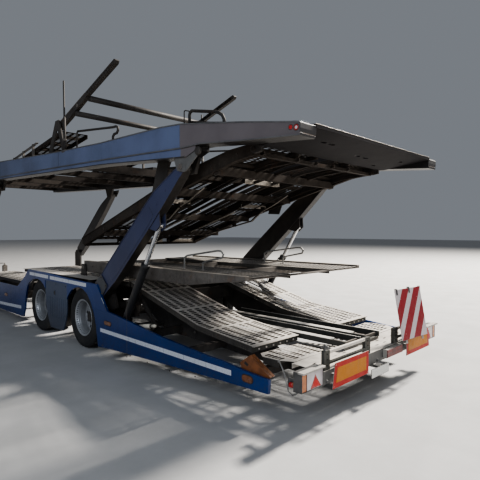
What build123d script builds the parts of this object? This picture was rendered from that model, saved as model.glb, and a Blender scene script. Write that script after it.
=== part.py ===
from build123d import *
import math
import os

# Close-coupled two-axle car transporter trailer with a lifting upper deck.
# Millimetres. +X right, +Y forward to the towing eye, +Z up, floor at Z = 0.
# Side profiles are laid out from the rear axle (Y = 0) and moved by SHIFT_Y at the end,
# so that the origin lies in the middle of the length.

# Driving dimensions
HALF_W = 1275.0          # half of the overall width
SKIN_X = 1271.0          # outer face of the skirts and side beams
SHIFT_Y = -1431.0        # rear axle line to the middle of the length
WHEEL_R = 398.0          # tyre radius
TYRE_W = 205.0           # tyre width
RIM_R = 222.0            # rim seat radius
FLANGE_R = 242.0         # rim flange radius
X_OUTER = 1129.5         # middle of the outer tyre
X_INNER = 881.5          # middle of the inner tyre
AXLE_GAP = 1431.0        # between the two axles
SPINDLE_R = 45.0
EYE_R = 25.0             # towing eye
TRACK_IN = 350.0         # inner edge of every wheel track
TRACK_OUT = 1012.0       # outer edge of every wheel track
ARM_LEN = 2125.0         # pin to pin, all four lift arms
ARM_ANG = 40.5           # above the floor, leaning back
REAR_PIN = (-540.0, 786.0)     # lower pin of the rear arms (Y, Z)
FRONT_PIN = (5150.0, 1000.0)   # lower pin of the front arms
CYL_PIN = (-1020.0, 480.0)     # lower pin of the lift cylinders
CYL_AT = 1430.0                # from the lower arm pin to the rod's eye, along the arm
CYL_SIDE = 145.0               # the rod's eye below the arm's middle line
CYL_X = 1188.0
DECK_PIVOT = (-2950.0, 2262.0)   # hinge of the tilting platform
MID_PIVOT = (350.0, 1040.0)      # hinge of the middle platform
FRAME_PIVOT = (1050.0, 3150.0)   # hinge of the raised top frame

os.makedirs("parts", exist_ok=True)


def area2(pts):
    return sum(a[0] * b[1] - b[0] * a[1] for a, b in zip(pts, pts[1:] + pts[:1]))


def slab(pts, x0, x1):
    """A side profile of (Y, Z) points, between two X."""
    p = list(pts) if area2(list(pts)) > 0 else list(pts)[::-1]
    lo, hi = min(x0, x1), max(x0, x1)
    return extrude(Plane.YZ.offset(lo) * Polygon(*p, align=None), amount=hi - lo)


def face_xz(pts, y0, y1):
    """A rear-view profile of (X, Z) points, between two Y."""
    p = list(pts) if area2(list(pts)) > 0 else list(pts)[::-1]
    lo, hi = min(y0, y1), max(y0, y1)
    # Plane.XZ looks along -Y, so the far side is given first
    return extrude(Plane.XZ.offset(-hi) * Polygon(*p, align=None), amount=hi - lo)


def block(x0, x1, y0, y1, z0, z1):
    return Pos((x0 + x1) / 2, (y0 + y1) / 2, (z0 + z1) / 2) * Box(abs(x1 - x0), abs(y1 - y0), abs(z1 - z0))


def rod(p, q, r):
    """A round bar from point p to point q."""
    a, b = Vector(*p), Vector(*q)
    return extrude(Plane(origin=a, z_dir=(b - a)) * Circle(r), amount=(b - a).length)


def barx(x0, x1, y, z, r):
    return rod((min(x0, x1), y, z), (max(x0, x1), y, z), r)


def fuse(items):
    out = items[0]
    for s in items[1:]:
        out = out + s
    return out


def flip(s):
    return mirror(s, about=Plane.YZ)


def both(items):
    """Solids and their mirror images."""
    return list(items) + [flip(s) for s in items]


def save(name, items):
    shapes = []
    for s in items:
        s = Pos(0, SHIFT_Y, 0) * s
        shapes += list(s.solids())
    shape = shapes[0] if len(shapes) == 1 else Compound(children=shapes)
    shape.label = name
    export_step(shape, "parts/" + name + ".step")


def along(line, y):
    """Height of a (Y, Z) line at y."""
    pts = sorted(line)
    if y <= pts[0][0]:
        a, b = pts[0], pts[1]
    elif y >= pts[-1][0]:
        a, b = pts[-2], pts[-1]
    else:
        a, b = next((p, q) for p, q in zip(pts, pts[1:]) if p[0] <= y <= q[0])
    return a[1] + (b[1] - a[1]) * (y - a[0]) / (b[0] - a[0])


def band(line, up, down):
    """The strip between a (Y, Z) line moved up and the same line moved down."""
    return [(y, z + up) for y, z in line] + [(y, z - down) for y, z in reversed(line)]


def arm_point(pin, dist, side=0.0):
    """A point on a lift arm: dist up the arm, side across it."""
    a = math.radians(ARM_ANG)
    return (pin[0] - dist * math.cos(a) - side * math.sin(a), pin[1] + dist * math.sin(a) - side * math.cos(a))


def track(line, x_in, x_out, skin=6.0, lip=58.0, wall=6.0):
    """A wheel track: a plate on a (Y, Z) line with a turned-down edge on each side."""
    parts = [
        slab(band(line, 0.0, skin), x_in, x_out),
        slab(band(line, 0.0, lip), x_in, x_in + wall),
        slab(band(line, 0.0, lip), x_out - wall, x_out),
    ]
    return fuse(parts)


# ---------------------------------------------------------------- running gear
# wheel stations: name, Y of the axle, side (-1 left, +1 right)
WHEELS = [
    ("rear_left", 0.0, -1),
    ("rear_right", 0.0, 1),
    ("front_left", AXLE_GAP, -1),
    ("front_right", AXLE_GAP, 1),
]


def revolve_x(pts, x_mid):
    """A ring about the wheel's axis, from (distance along X, radius) points."""
    p = list(pts) if area2(list(pts)) > 0 else list(pts)[::-1]
    face = Plane.XY * Polygon(*p, align=None)
    return Pos(x_mid, 0, 0) * revolve(face, axis=Axis.X, revolution_arc=360)


TYRE = [
    (-80, RIM_R + 0.3), (80, RIM_R + 0.3), (80, 243), (89, 252), (TYRE_W / 2, 300),
    (TYRE_W / 2 - 2, 345), (TYRE_W / 2 - 10, 376), (TYRE_W / 2 - 24, 391), (TYRE_W / 2 - 40, WHEEL_R),
    (-TYRE_W / 2 + 40, WHEEL_R), (-TYRE_W / 2 + 24, 391), (-TYRE_W / 2 + 10, 376),
    (-TYRE_W / 2 + 2, 345), (-TYRE_W / 2, 300), (-89, 252), (-80, 243),
]


def wheel_rims():
    """Both rims of a twin wheel on the right, with the hub and the drum between them."""
    outer = [
        # outer rim: seat, flanges and the deep dished disc
        [(-88, 206), (88, 206), (88, FLANGE_R), (80.4, FLANGE_R), (80.4, RIM_R), (-80.4, RIM_R), (-80.4, FLANGE_R), (-88, FLANGE_R)],
        [(-88, 60), (-76, 60), (-76, 150), (-40, 196), (-40, 207), (-62, 207), (-88, 165)],
        # hub with its stepped cap
        [(-110, 46), (-10, 46), (-10, 0.0), (0, 0.0), (0, 62), (-14, 74), (-70, 84), (-70, 100), (-110, 100)],
    ]
    inner = [
        [(-88, 206), (88, 206), (88, FLANGE_R), (80.4, FLANGE_R), (80.4, RIM_R), (-80.4, RIM_R), (-80.4, FLANGE_R), (-88, FLANGE_R)],
        [(76, 60), (88, 60), (88, 165), (62, 207), (40, 207), (40, 196), (76, 150)],
        # brake drum
        [(-95, 150), (70, 150), (70, 46), (150, 46), (150, 100), (88, 100), (88, 172), (-95, 172)],
    ]
    s = [revolve_x(p, X_OUTER) for p in outer] + [revolve_x(p, X_INNER) for p in inner]
    return fuse(s)


rims_right = wheel_rims()
tyre_solid = revolve_x(TYRE, 0.0)
for name, y, side in WHEELS:
    tyres = [Pos(x, y, WHEEL_R) * tyre_solid for x in (X_OUTER, X_INNER)]
    rims = [Pos(0, y, WHEEL_R) * rims_right]
    if side < 0:
        tyres = [flip(s) for s in tyres]
        rims = [flip(s) for s in rims]
    save("tyres_" + name, tyres)
    save("rims_" + name, rims)

axles = []
for y in (0.0, AXLE_GAP):
    axles.append(fuse([
        barx(-760, 760, y, WHEEL_R, 62),
        barx(-1115, 1115, y, WHEEL_R, SPINDLE_R),
    ]))
save("axles", axles)

# trailing arms, hangers and air springs
susp = []
for y in (0.0, AXLE_GAP):
    for side in (-1, 1):
        x0, x1 = side * 560, side * 640
        arm = slab([(y + 520, 470), (y + 520, 520), (y + 80, 500), (y - 330, 420), (y - 330, 370), (y + 80, 330)], x0, x1)
        arm = arm - barx(-800, 800, y, WHEEL_R, 62.3)
        bag = extrude(Plane(origin=(side * 600, y - 250, 420)) * Circle(78), amount=218)
        susp.append(fuse([arm, bag]))
        susp.append(slab([(y + 440, 638), (y + 550, 638), (y + 535, 440), (y + 470, 440)], side * 652, side * 690))
save("suspension", susp)

# ---------------------------------------------------------------- chassis
SLOPE = [(-2890.0, 508.0), (-2120.0, 585.0), (-1120.0, 850.0), (-850.0, 925.0)]

frame_top = [(-3500, 372), (-2960, 372), (-2890, 440), (-2120, 520), (-1120, 785), (-850, 860), (2130, 865), (2390, 580), (5350, 580)]
frame_bottom = [(5350, 330), (2300, 330), (1990, 640), (-560, 640), (-1150, 330), (-3500, 262)]
frame = both([slab(frame_top + frame_bottom, 642, 700)])
# cross members: Y, Z low, Z high
CROSS = [
    (-3400, 290, 352), (-2500, 385, 470), (-1700, 385, 470), (-900, 600, 760), (-480, 680, 800),
    (715, 680, 800), (1900, 680, 800), (2480, 380, 520), (3400, 380, 520), (4300, 380, 520), (5270, 340, 560),
]
cross = [block(-642, 642, y - 40, y + 40, z0, z1) for y, z0, z1 in CROSS]
save("frame_rails", frame)

# outriggers that carry the skirts and the deck edge: Y, Z low, Z high
OUTRIG = [(-3050, 290, 360), (-2200, 330, 400), (-1450, 360, 440), (2600, 360, 480), (3700, 360, 480), (4900, 360, 480)]
for y, z0, z1 in OUTRIG:
    cross += both([block(700, 1242, y - 30, y + 30, z0, z1)])
save("cross_members", cross)

# drawbar: two converging beams, a nose and a towing eye
nose = [(150, 5350), (470, 5350), (120, 6120), (-120, 6120), (-470, 5350), (-150, 5350), (-60, 5900), (60, 5900)]
drawbar = extrude(Plane.XY.offset(350) * Polygon(*(nose if area2(nose) > 0 else nose[::-1]), align=None), amount=130)
drawbar = drawbar + block(-60, 60, 6120, 6170, 380, 450)
eye = extrude(Plane.XY.offset(390) * Circle(62), amount=45)
eye = eye - extrude(Plane.XY.offset(380) * Circle(EYE_R), amount=65)
eye = Pos(0, 6298, 0) * eye
shank = block(-24, 24, 6168, 6244, 390, 435)

# jack: sleeve clamped to the left drawbar beam, leg and foot
sleeve = block(-560, -470, 5395, 5485, 300, 760) + block(-475, -380, 5400, 5480, 380, 450)
sleeve = sleeve - block(-541, -489, 5414, 5466, 290, 740)
save("drawbar", [fuse([drawbar, shank, eye, sleeve])])
save("jack_leg", [fuse([block(-540, -490, 5415, 5465, 12, 700), block(-600, -430, 5355, 5525, 0, 12)])])

# ---------------------------------------------------------------- lower deck
front_tr = track([(2150, 925), (2420, 640), (5250, 640)], TRACK_IN, TRACK_OUT)
save("lower_front_tracks", both([front_tr]))
wheel_deck = fuse([slab(band([(-840, 925), (2140, 925)], 0, 8), TRACK_IN, 1026), slab(band([(-290, 925), (2140, 925)], 0, 8), 1020, 1240),
                   slab(band([(-840, 925), (2140, 925)], 0, 58), TRACK_IN, TRACK_IN + 6),
                   slab(band([(-840, 925), (2140, 925)], 0, 58), 1020, 1026)])
save("wheel_deck", both([wheel_deck]))
slope_tr = track(SLOPE, TRACK_IN, TRACK_OUT)
slope_end = block(TRACK_IN, TRACK_OUT, -2896, -2890, 452, 508)
save("lower_rear_tracks", both([slope_tr + slope_end]))
# flat ends of the rear tracks, with cut outer corners
tail_pts = [(328, -2960), (935, -2920), (1000, -3000), (990, -3180), (920, -3300), (240, -3300), (240, -3200)]
tail = extrude(Plane.XY.offset(432) * Polygon(*(tail_pts if area2(tail_pts) > 0 else tail_pts[::-1]), align=None), amount=8)
tail = fuse([tail, block(334, 340, -3300, -2960, 374, 440), block(984, 990, -3180, -3000, 374, 440)])
save("tail_tracks", both([tail]))
# two channel ramps stored flat between the rear tracks
RAMPS = [(-335, -55), (30, 310)]     # X of the two edges
stored = []
for x0, x1 in RAMPS:
    stored.append(fuse([block(x0, x1, -3430, -1450, 470, 476), block(x0, x0 + 6, -3430, -1450, 470, 525),
                        block(x1 - 6, x1, -3430, -1450, 470, 525)]))
save("stored_ramps", stored)

# skirts and panels
skirt_rear = slab([(-486, 885), (-726, 588), (-770, 579), (-1236, 529), (-1845, 463), (-2476, 417), (-2775, 405),
                   (-3049, 381), (-3311, 368), (-3304, 254), (-2283, 214), (-971, 150), (-510, 118),
                   (-470, 300), (-440, 560), (-400, 700), (-330, 815), (-250, 815), (-250, 890)], 1243, SKIN_X)
save("skirts_rear", both([skirt_rear]))
cover = slab([(-250, 815), (-250, 890), (1814, 932), (1990, 800), (1880, 700), (1800, 760), (1700, 815)], 1243, SKIN_X)
save("arch_covers", both([cover]))
skirt_front = slab([(1990, 800), (2330, 610), (5200, 600), (5200, 110), (2063, 139), (1975, 300), (1955, 560), (1880, 700)], 1243, SKIN_X)
save("skirts_front", both([skirt_front]))
panel = slab([(1150, 813), (370, 813), (398, 560), (400, 420), (440, 300), (519, 146), (954, 135), (1060, 300), (1120, 460), (1136, 600)], 1245, 1262)
save("wheel_panels", both([panel]))

# ---------------------------------------------------------------- tail
# beam across the tail with a walk plate, and a low upstand frame on each side
TAIL_Y = -3622.0
rear_beam = block(-980, 980, TAIL_Y, -3500, 330, 430)
rear_beam = rear_beam + block(-980, 980, TAIL_Y, -3310, 430, 440)
rear_beam = rear_beam + block(-340, 315, -3420, -3380, 440, 470)
UPSTAND = [(232, 324, 590), (884, 963, 597)]     # X of the two edges, height
for s in (-1, 1):
    for x0, x1, top in UPSTAND:
        rear_beam = rear_beam + block(s * x0, s * x1, TAIL_Y, TAIL_Y + 30, 440, top)
    rear_beam = rear_beam + block(s * 324, s * 884, TAIL_Y, TAIL_Y + 22, 565, 590)
    rear_beam = rear_beam + block(s * 324, s * 884, TAIL_Y, TAIL_Y + 22, 480, 500)
save("rear_beam", [rear_beam])
lamp_box = fuse([block(980, 1260, -3626, -3545, 334, 488), block(966, HALF_W, -3650, -3500, 488, 496)])
lamp_bar = block(10, 340, -3668, TAIL_Y, 348, 428)
save("tail_lamps", both([lamp_box]) + [lamp_bar])
plate = block(380, 945, -3688, -3682, 305, 505)
plate = plate + block(600, 640, -3682, TAIL_Y, 380, 410)
save("marker_plates", both([plate]))
save("number_plate", [fuse([block(-330, 0, -3690, -3684, 240, 322), block(-180, -150, -3684, -3560, 300, 330)])])
# square warning board, leaning forward at the top
board_plane = Plane(origin=(270, -3696, 470), x_dir=(499, -42, 0), z_dir=(-0.0825, -0.9796, 0.1827))
board = board_plane * Pos(250, 250, -2) * Box(500, 500, 4)
board = board + block(420, 460, -3688, TAIL_Y, 567, 588)
save("striped_board", [board])

# pivot brackets on the chassis for the arms and the cylinders
rear_bracket = fuse([
    slab([(-680, 700), (-590, 870), (-490, 870), (-420, 800), (-420, 630), (-600, 560), (-720, 600)], 1092, 1134),
    barx(1092, 1241, REAR_PIN[0], REAR_PIN[1], 30),
    block(700, 1134, -600, -420, 575, 640),
])
front_bracket = fuse([
    slab([(5010, 510), (5290, 510), (5290, 1010), (5220, 1080), (5090, 1080), (5010, 1010)], 1092, 1134),
    barx(1092, 1241, FRONT_PIN[0], FRONT_PIN[1], 30),
    block(700, 1134, 5080, 5240, 510, 575),
])
cb = []
for x0, x1 in ((1130, 1141), (1235, 1241)):
    cb.append(slab([(-1120, 385), (-920, 385), (-960, 530), (-1080, 530)], x0, x1))
cb.append(barx(1130, 1241, CYL_PIN[0], CYL_PIN[1], 22))
cyl_bracket = fuse(cb + [block(700, 1241, -1110, -930, 385, 422)])
# lugs on the wheel deck that carry the middle platform's hinge pins
mid_lug = slab([(270, 925), (430, 925), (395, 1085), (305, 1085)], 1024, 1044) - barx(1010, 1060, MID_PIVOT[0], MID_PIVOT[1], 25.1)
save("arm_brackets", both([rear_bracket, front_bracket, cyl_bracket, mid_lug]))

# ---------------------------------------------------------------- lift arms
# outline of a lift arm: distance up the arm, upper side, lower side of its middle line
ARM = [(-40, 120, 60), (20, 165, 66), (390, 178, 98), (1370, 162, 86), (1630, 150, 78), (1850, 104, 66), (2040, 60, 55), (2125, 52, 52)]


def lift_arm(pin):
    pts = [arm_point(pin, d, -a) for d, a, b in ARM] + [arm_point(pin, d, b) for d, a, b in reversed(ARM)]
    top = arm_point(pin, ARM_LEN)
    arm = fuse([slab(pts, 1140, 1236), barx(1140, 1236, top[0], top[1], 54)])
    return arm - barx(1100, 1300, pin[0], pin[1], 30.3) - barx(1100, 1300, top[0], top[1], 30.3)


# the rear arms carry two lugs below for the eye of the lift cylinder's rod
lug = [arm_point(REAR_PIN, CYL_AT - 130, 80), arm_point(REAR_PIN, CYL_AT + 130, 76),
       arm_point(REAR_PIN, CYL_AT + 45, CYL_SIDE + 44), arm_point(REAR_PIN, CYL_AT - 45, CYL_SIDE + 44)]
eye_y, eye_z = arm_point(REAR_PIN, CYL_AT, CYL_SIDE)
save("rear_arms", both([fuse([lift_arm(REAR_PIN), slab(lug, 1144, 1156), slab(lug, 1220, 1232)])]))
save("front_arms", both([lift_arm(FRONT_PIN)]))

# lift cylinders in the arms' plane: barrel on the chassis, rod to the arm
dy, dz = eye_y - CYL_PIN[0], eye_z - CYL_PIN[1]
cyl_len = math.hypot(dy, dz)
uy, uz = dy / cyl_len, dz / cyl_len


def cyl_at(d):
    return (CYL_X, CYL_PIN[0] + uy * d, CYL_PIN[1] + uz * d)


barrel = fuse([rod(cyl_at(40), cyl_at(800), 45), rod(cyl_at(780), cyl_at(825), 48)])
barrel = barrel - rod(cyl_at(90), cyl_at(850), 27)
foot = barx(CYL_X - 38, CYL_X + 38, CYL_PIN[0], CYL_PIN[1], 42)
barrel = (barrel + foot) - barx(CYL_X - 60, CYL_X + 60, CYL_PIN[0], CYL_PIN[1], 22.3)
save("lift_barrels", both([barrel]))
piston = rod(cyl_at(420), cyl_at(cyl_len - 20), 26)
head = barx(CYL_X - 27, CYL_X + 27, eye_y, eye_z, 34)
save("lift_rods", both([piston + head]))
print("cylinder", round(cyl_len, 1), "eye", round(eye_y, 1), round(eye_z, 1))

# ---------------------------------------------------------------- upper deck
BEAM_TOP = [(-3610, 2350), (-3000, 2454), (-2590, 2517), (-2175, 2578), (-1850, 2600), (-600, 2621), (614, 2671), (3145, 2812), (5200, 2920), (6600, 2988)]
BEAM_BOT = [(-3610, 2246), (-3000, 2291), (-2480, 2338), (-2170, 2336), (-600, 2402), (618, 2445), (3155, 2527), (5200, 2600), (6600, 2655)]
CHORD = [(-2400, 2300), (-2250, 2247), (-600, 2351), (3156, 2489), (6600, 2620)]
beam = slab(BEAM_TOP + BEAM_BOT[::-1], 1080, SKIN_X)
chord_top = [(y, along(BEAM_BOT, y)) for y in (6600, 5200, 3155, 618, -600, -2170, -2400)]
chord = slab(CHORD + chord_top, 1090, 1262)
side_beam = fuse([beam, chord])
save("upper_side_beams", both([side_beam]))

# brackets under the side beams that hold the arm tops
top_brackets = []
for pin in (REAR_PIN, FRONT_PIN):
    ty, tz = arm_point(pin, ARM_LEN)
    zb = along(BEAM_BOT, ty) + 10
    cheek = slab([(ty - 170, zb), (ty + 190, zb), (ty + 90, tz - 60), (ty - 70, tz - 60)], 1096, 1134)
    top_brackets.append(fuse([cheek, barx(1096, 1241, ty, tz, 30)]) - side_beam)
# hanging guides beside the tilting platform
guide = fuse([slab([(-1710, 2395), (-1500, 2395), (-1355, 2000), (-1300, 1800), (-1500, 1790), (-1590, 2000)], 1022, 1036),
              block(1022, 1080, -1700, -1510, 2380, 2395)])
# hinge lugs of the tilting platform, on the front edge of the tail sheet
deck_lug = slab([(-3030, 2232), (-2950, 2222), (-2910, 2245), (-2910, 2285), (-2950, 2302), (-3030, 2302)], 1030, 1058)
deck_lug = deck_lug - barx(1010, 1070, DECK_PIVOT[0], DECK_PIVOT[1], 22.1)
save("arm_top_brackets", both(top_brackets + [guide, deck_lug]))

# cross members of the upper deck: Y, depth
UPPER_CROSS = [(640, 110), (1750, 90), (2900, 90), (4050, 90), (5200, 90), (6520, 120)]
uc = []
for y, d in UPPER_CROSS:
    z = along(BEAM_BOT, y) + 10
    uc.append(block(-1080, 1080, y - 45, y + 45, z, z + d))
# sheet that closes the tail of the upper deck from below
TAIL_SHEET = [(-3620, 2362), (-3620, 2330), (-3080, 2274), (-3030, 2276), (-3030, 2288), (-3080, 2286), (-3606, 2341), (-3606, 2362)]
uc.append(slab(TAIL_SHEET, -1080, 1080))
save("upper_cross_members", uc)
save("upper_front_tracks", both([track([(y, along(BEAM_BOT, y) + 10 + 110 + 58) for y in (690, 3155, 6450)], TRACK_IN, TRACK_OUT)]))
save("upper_rear_flaps", both([track([(-3604, 2366), (-3150, 2398)], 250, 1070, skin=6, lip=20)]))

# fixed ramp and hub posts ahead of the raised top frame
ramp = track([(1180, 3095), (3440, 2800)], 560, 1000, lip=60)
save("upper_ramp", both([ramp]))
hub = fuse([slab([(760, along(BEAM_TOP, 760)), (1400, along(BEAM_TOP, 1400)), (1110, 3210), (990, 3210)], 1088, 1108) - slab([(880, 2740), (1250, 2760), (1080, 3060), (1030, 3060)], 1080, 1120),
            barx(1066, 1108, FRAME_PIVOT[0], FRAME_PIVOT[1], 26)])
save("hub_posts", both([hub]))

# raised top frame: two rails and two cross tubes
fa = math.radians(17.2)


def rail_point(d, side=0.0):
    return (FRAME_PIVOT[0] - d * math.cos(fa) - side * math.sin(fa), FRAME_PIVOT[1] + d * math.sin(fa) - side * math.cos(fa))


rail = slab([rail_point(-60, -50), rail_point(-60, 50), rail_point(1690, 55), rail_point(1740, 0), rail_point(1700, -50)], 1005, 1060)
rail = rail - barx(990, 1080, FRAME_PIVOT[0], FRAME_PIVOT[1], 26.3)
b1, b2 = rail_point(860, 20), rail_point(520, 75)
top_frame = fuse([rail, flip(rail), barx(-1010, 1010, b1[0], b1[1], 32), barx(-1050, 1050, b2[0], b2[1], 32)])
save("raised_frame", [top_frame])

# ---------------------------------------------------------------- tilting platform of the upper deck
PLAT = [(-2990, 2332), (-2600, 2302), (-2000, 2185), (-1400, 2020), (440, 1450)]
PLAT_LOW = [(440, 1368), (360, 1350), (-635, 1665), (-1460, 1885), (-2200, 2072), (-2700, 2195), (-2960, 2222), (-2990, 2240)]
side_plate = slab(PLAT + PLAT_LOW, 1000, 1012)
pin = barx(1012, 1072, DECK_PIVOT[0], DECK_PIVOT[1], 22)
pc = []
# ribs under the tracks: Y, height, depth below the track
RIBS = [(-2930, 30, 86), (-2400, 80, 90), (-1700, 80, 90), (-900, 80, 90), (-200, 80, 90), (380, 40, 90)]
for y, h, down in RIBS:
    z = along(PLAT, y) - down - h
    pc.append(block(-1000, 1000, y - 30, y + 30, z, z + h))
save("tilt_platform_frame", [fuse(both([side_plate, pin]) + pc)])
save("tilt_platform_tracks", both([track([(y, z - 20) for y, z in PLAT], 150, 994)]))

# ---------------------------------------------------------------- middle platform
mid_beam = slab([(390, 1126), (-2429, 1124), (-2800, 1124), (-2800, 1090), (-2000, 985), (390, 985)], 962, 1012)
mid_beam = mid_beam + barx(1012, 1050, MID_PIVOT[0], MID_PIVOT[1], 25)
mid_cross = [block(-962, 962, y - 40, y + 40, z0, 1100) for y, z0 in ((310, 990), (-900, 990), (-2000, 1000), (-2760, 1090))]
save("mid_platform_frame", [fuse([mid_beam, flip(mid_beam)] + mid_cross)])
save("mid_platform_tracks", both([slab(band([(-2800, 1106), (345, 1106)], 0, 6), TRACK_IN, 960)]))
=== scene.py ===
import math
import random

import bmesh
import bpy
from mathutils import Matrix, Vector


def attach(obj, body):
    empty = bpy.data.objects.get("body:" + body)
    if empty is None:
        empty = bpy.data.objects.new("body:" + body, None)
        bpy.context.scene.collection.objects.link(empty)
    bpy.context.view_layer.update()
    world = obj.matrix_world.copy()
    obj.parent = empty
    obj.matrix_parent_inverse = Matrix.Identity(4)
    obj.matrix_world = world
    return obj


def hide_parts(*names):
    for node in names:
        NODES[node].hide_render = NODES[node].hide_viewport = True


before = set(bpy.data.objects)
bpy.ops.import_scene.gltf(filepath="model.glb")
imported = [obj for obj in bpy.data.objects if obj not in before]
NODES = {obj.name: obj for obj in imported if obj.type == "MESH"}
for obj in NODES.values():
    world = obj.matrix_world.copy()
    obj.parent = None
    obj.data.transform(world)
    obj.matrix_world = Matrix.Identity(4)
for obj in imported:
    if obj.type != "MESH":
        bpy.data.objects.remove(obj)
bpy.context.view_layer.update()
SHIFT = -1.431        # the rear axle's Y; side profiles below are given from the rear axle
random.seed(7)

scene = bpy.context.scene


# ------------------------------------------------------------------ camera, floor and light
cam_data = bpy.data.cameras.new("camera")
cam = bpy.data.objects.new("camera", cam_data)
scene.collection.objects.link(cam)
cam_data.sensor_width = 36.0
cam_data.sensor_fit = "AUTO"
cam_data.lens = 32.88
cam_data.clip_end = 200.0
cam.location = (-3.8647, -5.5707 + SHIFT, 1.539)
cam.rotation_euler = (math.pi / 2 - 0.019, 0.0, -0.7883)
scene.camera = cam


def area_light(name, loc, target, size, power, color):
    d = bpy.data.lights.new(name, "AREA")
    d.shape = "RECTANGLE"
    d.size, d.size_y = size
    d.energy = power
    d.color = color
    o = bpy.data.objects.new(name, d)
    scene.collection.objects.link(o)
    o.location = loc
    o.rotation_euler = (Vector(target) - Vector(loc)).to_track_quat("-Z", "Y").to_euler()
    return o


area_light("key", (22.0, -7.0, 20.5), (0, -2.5, 0.8), (3.2, 3.2), 30000, (1.0, 0.955, 0.885))
area_light("fill", (-9.0, -8.5, 5.5), (0, -1.5, 1.4), (6.0, 4.5), 420, (0.80, 0.89, 1.0))
area_light("tail", (4.0, -11.0, 6.5), (0, -3.5, 0.8), (5.0, 4.0), 90, (1.0, 0.97, 0.93))

world = bpy.data.worlds.new("world")
scene.world = world
world.use_nodes = True
wn = world.node_tree.nodes
wn["Background"].inputs[0].default_value = (0.80, 0.86, 0.95, 1.0)
wn["Background"].inputs[1].default_value = 0.24

scene.view_settings.view_transform = "AgX"
scene.view_settings.look = "AgX - Medium High Contrast"
scene.view_settings.exposure = -0.05


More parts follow.
